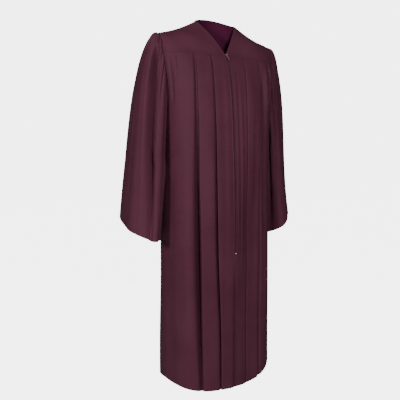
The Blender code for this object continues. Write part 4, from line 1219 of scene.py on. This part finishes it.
def lineFromFoot(name, inset):  # a line this far above a piece's lower edge
    surface = clothSurfaces[name]
    points, outs = [], []
    fromFoot = surface["down"][-1:] - surface["down"]
    columns = surface["outer"].shape[1]
    picked = range(columns) if surface["closed"] else range(2, columns - 2)
    for column in picked:
        depths = fromFoot[::-1, column]
        line = surface["outer"][::-1, column]
        out = surface["out"][::-1, column]
        points.append([np.interp(inset, depths, line[:, axis]) for axis in range(3)])
        outs.append([np.interp(inset, depths, out[:, axis]) for axis in range(3)])
    points, outs = np.array(points), unit(np.array(outs))
    if surface["closed"]:
        points, outs = np.vstack((points, points[:1])), np.vstack((outs, outs[:1]))
    return points + outs * stitch["raised"], outs


def zipLine(side, run, heights, above):  # a line down the front beside the zip
    points, outs = [], []
    for z in heights:
        ring = BodyRing(z, "front")
        lift = float(frontLift(side, np.array([run]), z)[0]) + above
        x, y = ring.point(run, lift)
        deeper = ring.point(run, lift + 0.01)
        points.append((side * float(x), float(y), z))
        outs.append((side * float(deeper[0] - x), float(deeper[1] - y), 0.0))
    return np.array(points), unit(np.array(outs))


threadSize = (stitch["thread"], stitch["thread"] * 0.8, stitch["length"])
threadStep = stitch["length"] + stitch["gap"]
stitching = {}
for side in (-1, 1):
    word = sideWords[side]
    lines = [lineFromFoot("sleeve" + word, stitch["cuffInset"])]
    stitching["sleeve_" + nodeWords[side]] = blocksAlong(
        "cuffStitches" + word, lines, threadStep, threadSize, 0.8, finishes["thread"])
    top = robe["seamZ"]["front"] - zipper["topstitchStart"]
    foot = zipper["endZ"] - zipper["topstitchPast"]
    heights = np.linspace(top, foot, 160)
    above = robe["cloth"] / 2 + stitch["raised"]
    lines = [lineFromFoot("frontPanel" + word, stitch["hemInset"]),
             zipLine(side, zipper["topstitch"], heights, above)]
    for z in (foot, foot + zipper["crossStitchGap"]):   # they close the zip's lower end
        runs = np.linspace(zipper["crossStitchStart"], zipper["topstitch"], 8)
        parts = [zipLine(side, run, [z], above) for run in runs]
        lines.append((np.vstack([part[0] for part in parts]), np.vstack([part[1] for part in parts])))
    stitching["front_panel_" + nodeWords[side]] = blocksAlong(
        "frontStitches" + word, lines, threadStep, threadSize, 0.8, finishes["thread"])
stitching["back_panel"] = blocksAlong("hemStitchesBack", [lineFromFoot("backPanel", stitch["hemInset"])],
                                      threadStep, threadSize, 0.8, finishes["thread"])
print("stitches made")

teeth = {}
for side in (-1, 1):
    first = zipper["topZ"] - zipper["teethStart"] - (0.0 if side < 0 else zipper["toothPitch"] / 2)
    heights = np.linspace(first, zipper["endZ"] + zipper["teethShort"], 160)
    line = zipLine(side, 0.0, heights, -zipper["toothBehind"])
    shifted = line[0] + np.array((side * zipper["toothShift"], 0.0, 0.0))
    teeth[side] = blocksAlong("zipTeeth" + sideWords[side], [(shifted, line[1])],
                              zipper["toothPitch"], zipper["toothSize"], 0.45, finishes["teeth"])
print("zip teeth made")


# Cloth, stitches and teeth ride with the robe. The slider, pull and end stop keep their solids

for node, piece in clothPieces.items():
    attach(piece, "robe")
    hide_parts(node)
    if node in stitching:
        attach(stitching[node], "robe")
for side in (-1, 1):
    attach(teeth[side], "robe")

# the slider, pull and end stop get enamels whose light colours are painted highlights
for node, finish in (("zip_slider", "slider"), ("zip_pull", "slider"), ("zip_end_stop", "stop")):
    for holder in nodes[node].material_slots:
        holder.material = finishes[finish]


# Floor, light and camera

stage = {
    "floorZ": -1.62,
    "floorHalf": 16.0,
    "floorTone": (0.55, 0.54, 0.54, 1.0),
    "floorGlow": 5.0,
    "worldTone": (1.0, 0.98, 0.98, 1.0),
    "worldStrength": 0.05,
    "backdropStrength": 5.0,
    "lookAt": (0.0, 0.0, -0.62),
}
lamps = namedRows("name place size power", (
    ("frontLight", (-0.66, -2.64, 0.65), 0.5, 54.0),
    ("sideLight", (-2.56, -1.36, 0.16), 0.5, 45.0),
    ("backLight", (1.01, 2.78, -0.1), 2.4, 16.0)))
photoCamera = {
    "azimuth": 31.0,
    "distance": 2.0,
    "height": -0.538,
    "tiltDown": 3.0,
    "turn": 29.366,
    "focal": 48.6,
}


def makeFloor():
    half, z = stage["floorHalf"], stage["floorZ"]
    mesh = bpy.data.meshes.new("studioFloor")
    mesh.from_pydata([(-half, -half, z), (half, -half, z), (half, half, z), (-half, half, z)],
                     [], [(0, 1, 2, 3)])
    floor = bpy.data.objects.new("studioFloor", mesh)
    bpy.context.scene.collection.objects.link(floor)
    material, tree, shader = startMaterial("paleFloor")
    spot = addNode(tree, "ShaderNodeTexCoord", (-900, 0))
    tone = placeGroup(tree, mottle, (-560, 60), Scale=0.4, Dark=stage["floorTone"],
                      Light=(0.60, 0.60, 0.60, 1.0), Smooth=0.75, Rough=0.85)
    tree.links.new(spot.outputs["Object"], tone.inputs["Vector"])
    tree.links.new(tone.outputs["Color"], shader.inputs["Base Color"])
    tree.links.new(tone.outputs["Roughness"], shader.inputs["Roughness"])
    rays = addNode(tree, "ShaderNodeLightPath", (-560, -300))
    shader.inputs["Emission Color"].default_value = stage["worldTone"]
    tree.links.new(mathNode(tree, "MULTIPLY", (-300, -300), rays.outputs["Is Camera Ray"],
                            stage["floorGlow"]), shader.inputs["Emission Strength"])
    mesh.materials.append(material)


def makeWorld():
    world = bpy.data.worlds.new("studio")
    world.use_nodes = True
    tree = world.node_tree
    background = tree.nodes["Background"]
    background.inputs["Color"].default_value = stage["worldTone"]
    rays = addNode(tree, "ShaderNodeLightPath", (-600, 0))
    seen = mathNode(tree, "MULTIPLY", (-400, 0), rays.outputs["Is Camera Ray"],
                    stage["backdropStrength"] - stage["worldStrength"])
    tree.links.new(mathNode(tree, "ADD", (-200, 0), seen, stage["worldStrength"]),
                   background.inputs["Strength"])
    bpy.context.scene.world = world


def makeLamp(name, place, size, power):
    lamp = bpy.data.lights.new(name, "AREA")
    lamp.energy = power
    lamp.size = size
    holder = bpy.data.objects.new(name, lamp)
    holder.location = place
    aim = np.array(stage["lookAt"]) - np.array(place)
    holder.rotation_euler = (math.acos(-aim[2] / np.linalg.norm(aim)), 0.0,
                             math.atan2(aim[1], aim[0]) - math.pi / 2)
    bpy.context.scene.collection.objects.link(holder)


def makeCamera():
    angle = math.radians(photoCamera["azimuth"])
    data = bpy.data.cameras.new("photoCamera")
    data.lens = photoCamera["focal"]
    data.sensor_width = 36.0
    camera = bpy.data.objects.new("photoCamera", data)
    camera.location = (-photoCamera["distance"] * math.sin(angle),
                       -photoCamera["distance"] * math.cos(angle), photoCamera["height"])
    camera.rotation_euler = (math.radians(90 - photoCamera["tiltDown"]), 0.0,
                             -math.radians(photoCamera["turn"]))
    bpy.context.scene.collection.objects.link(camera)
    bpy.context.scene.camera = camera


makeFloor()
makeWorld()
for lamp in lamps:
    makeLamp(**lamp)
makeCamera()
print("stage made")
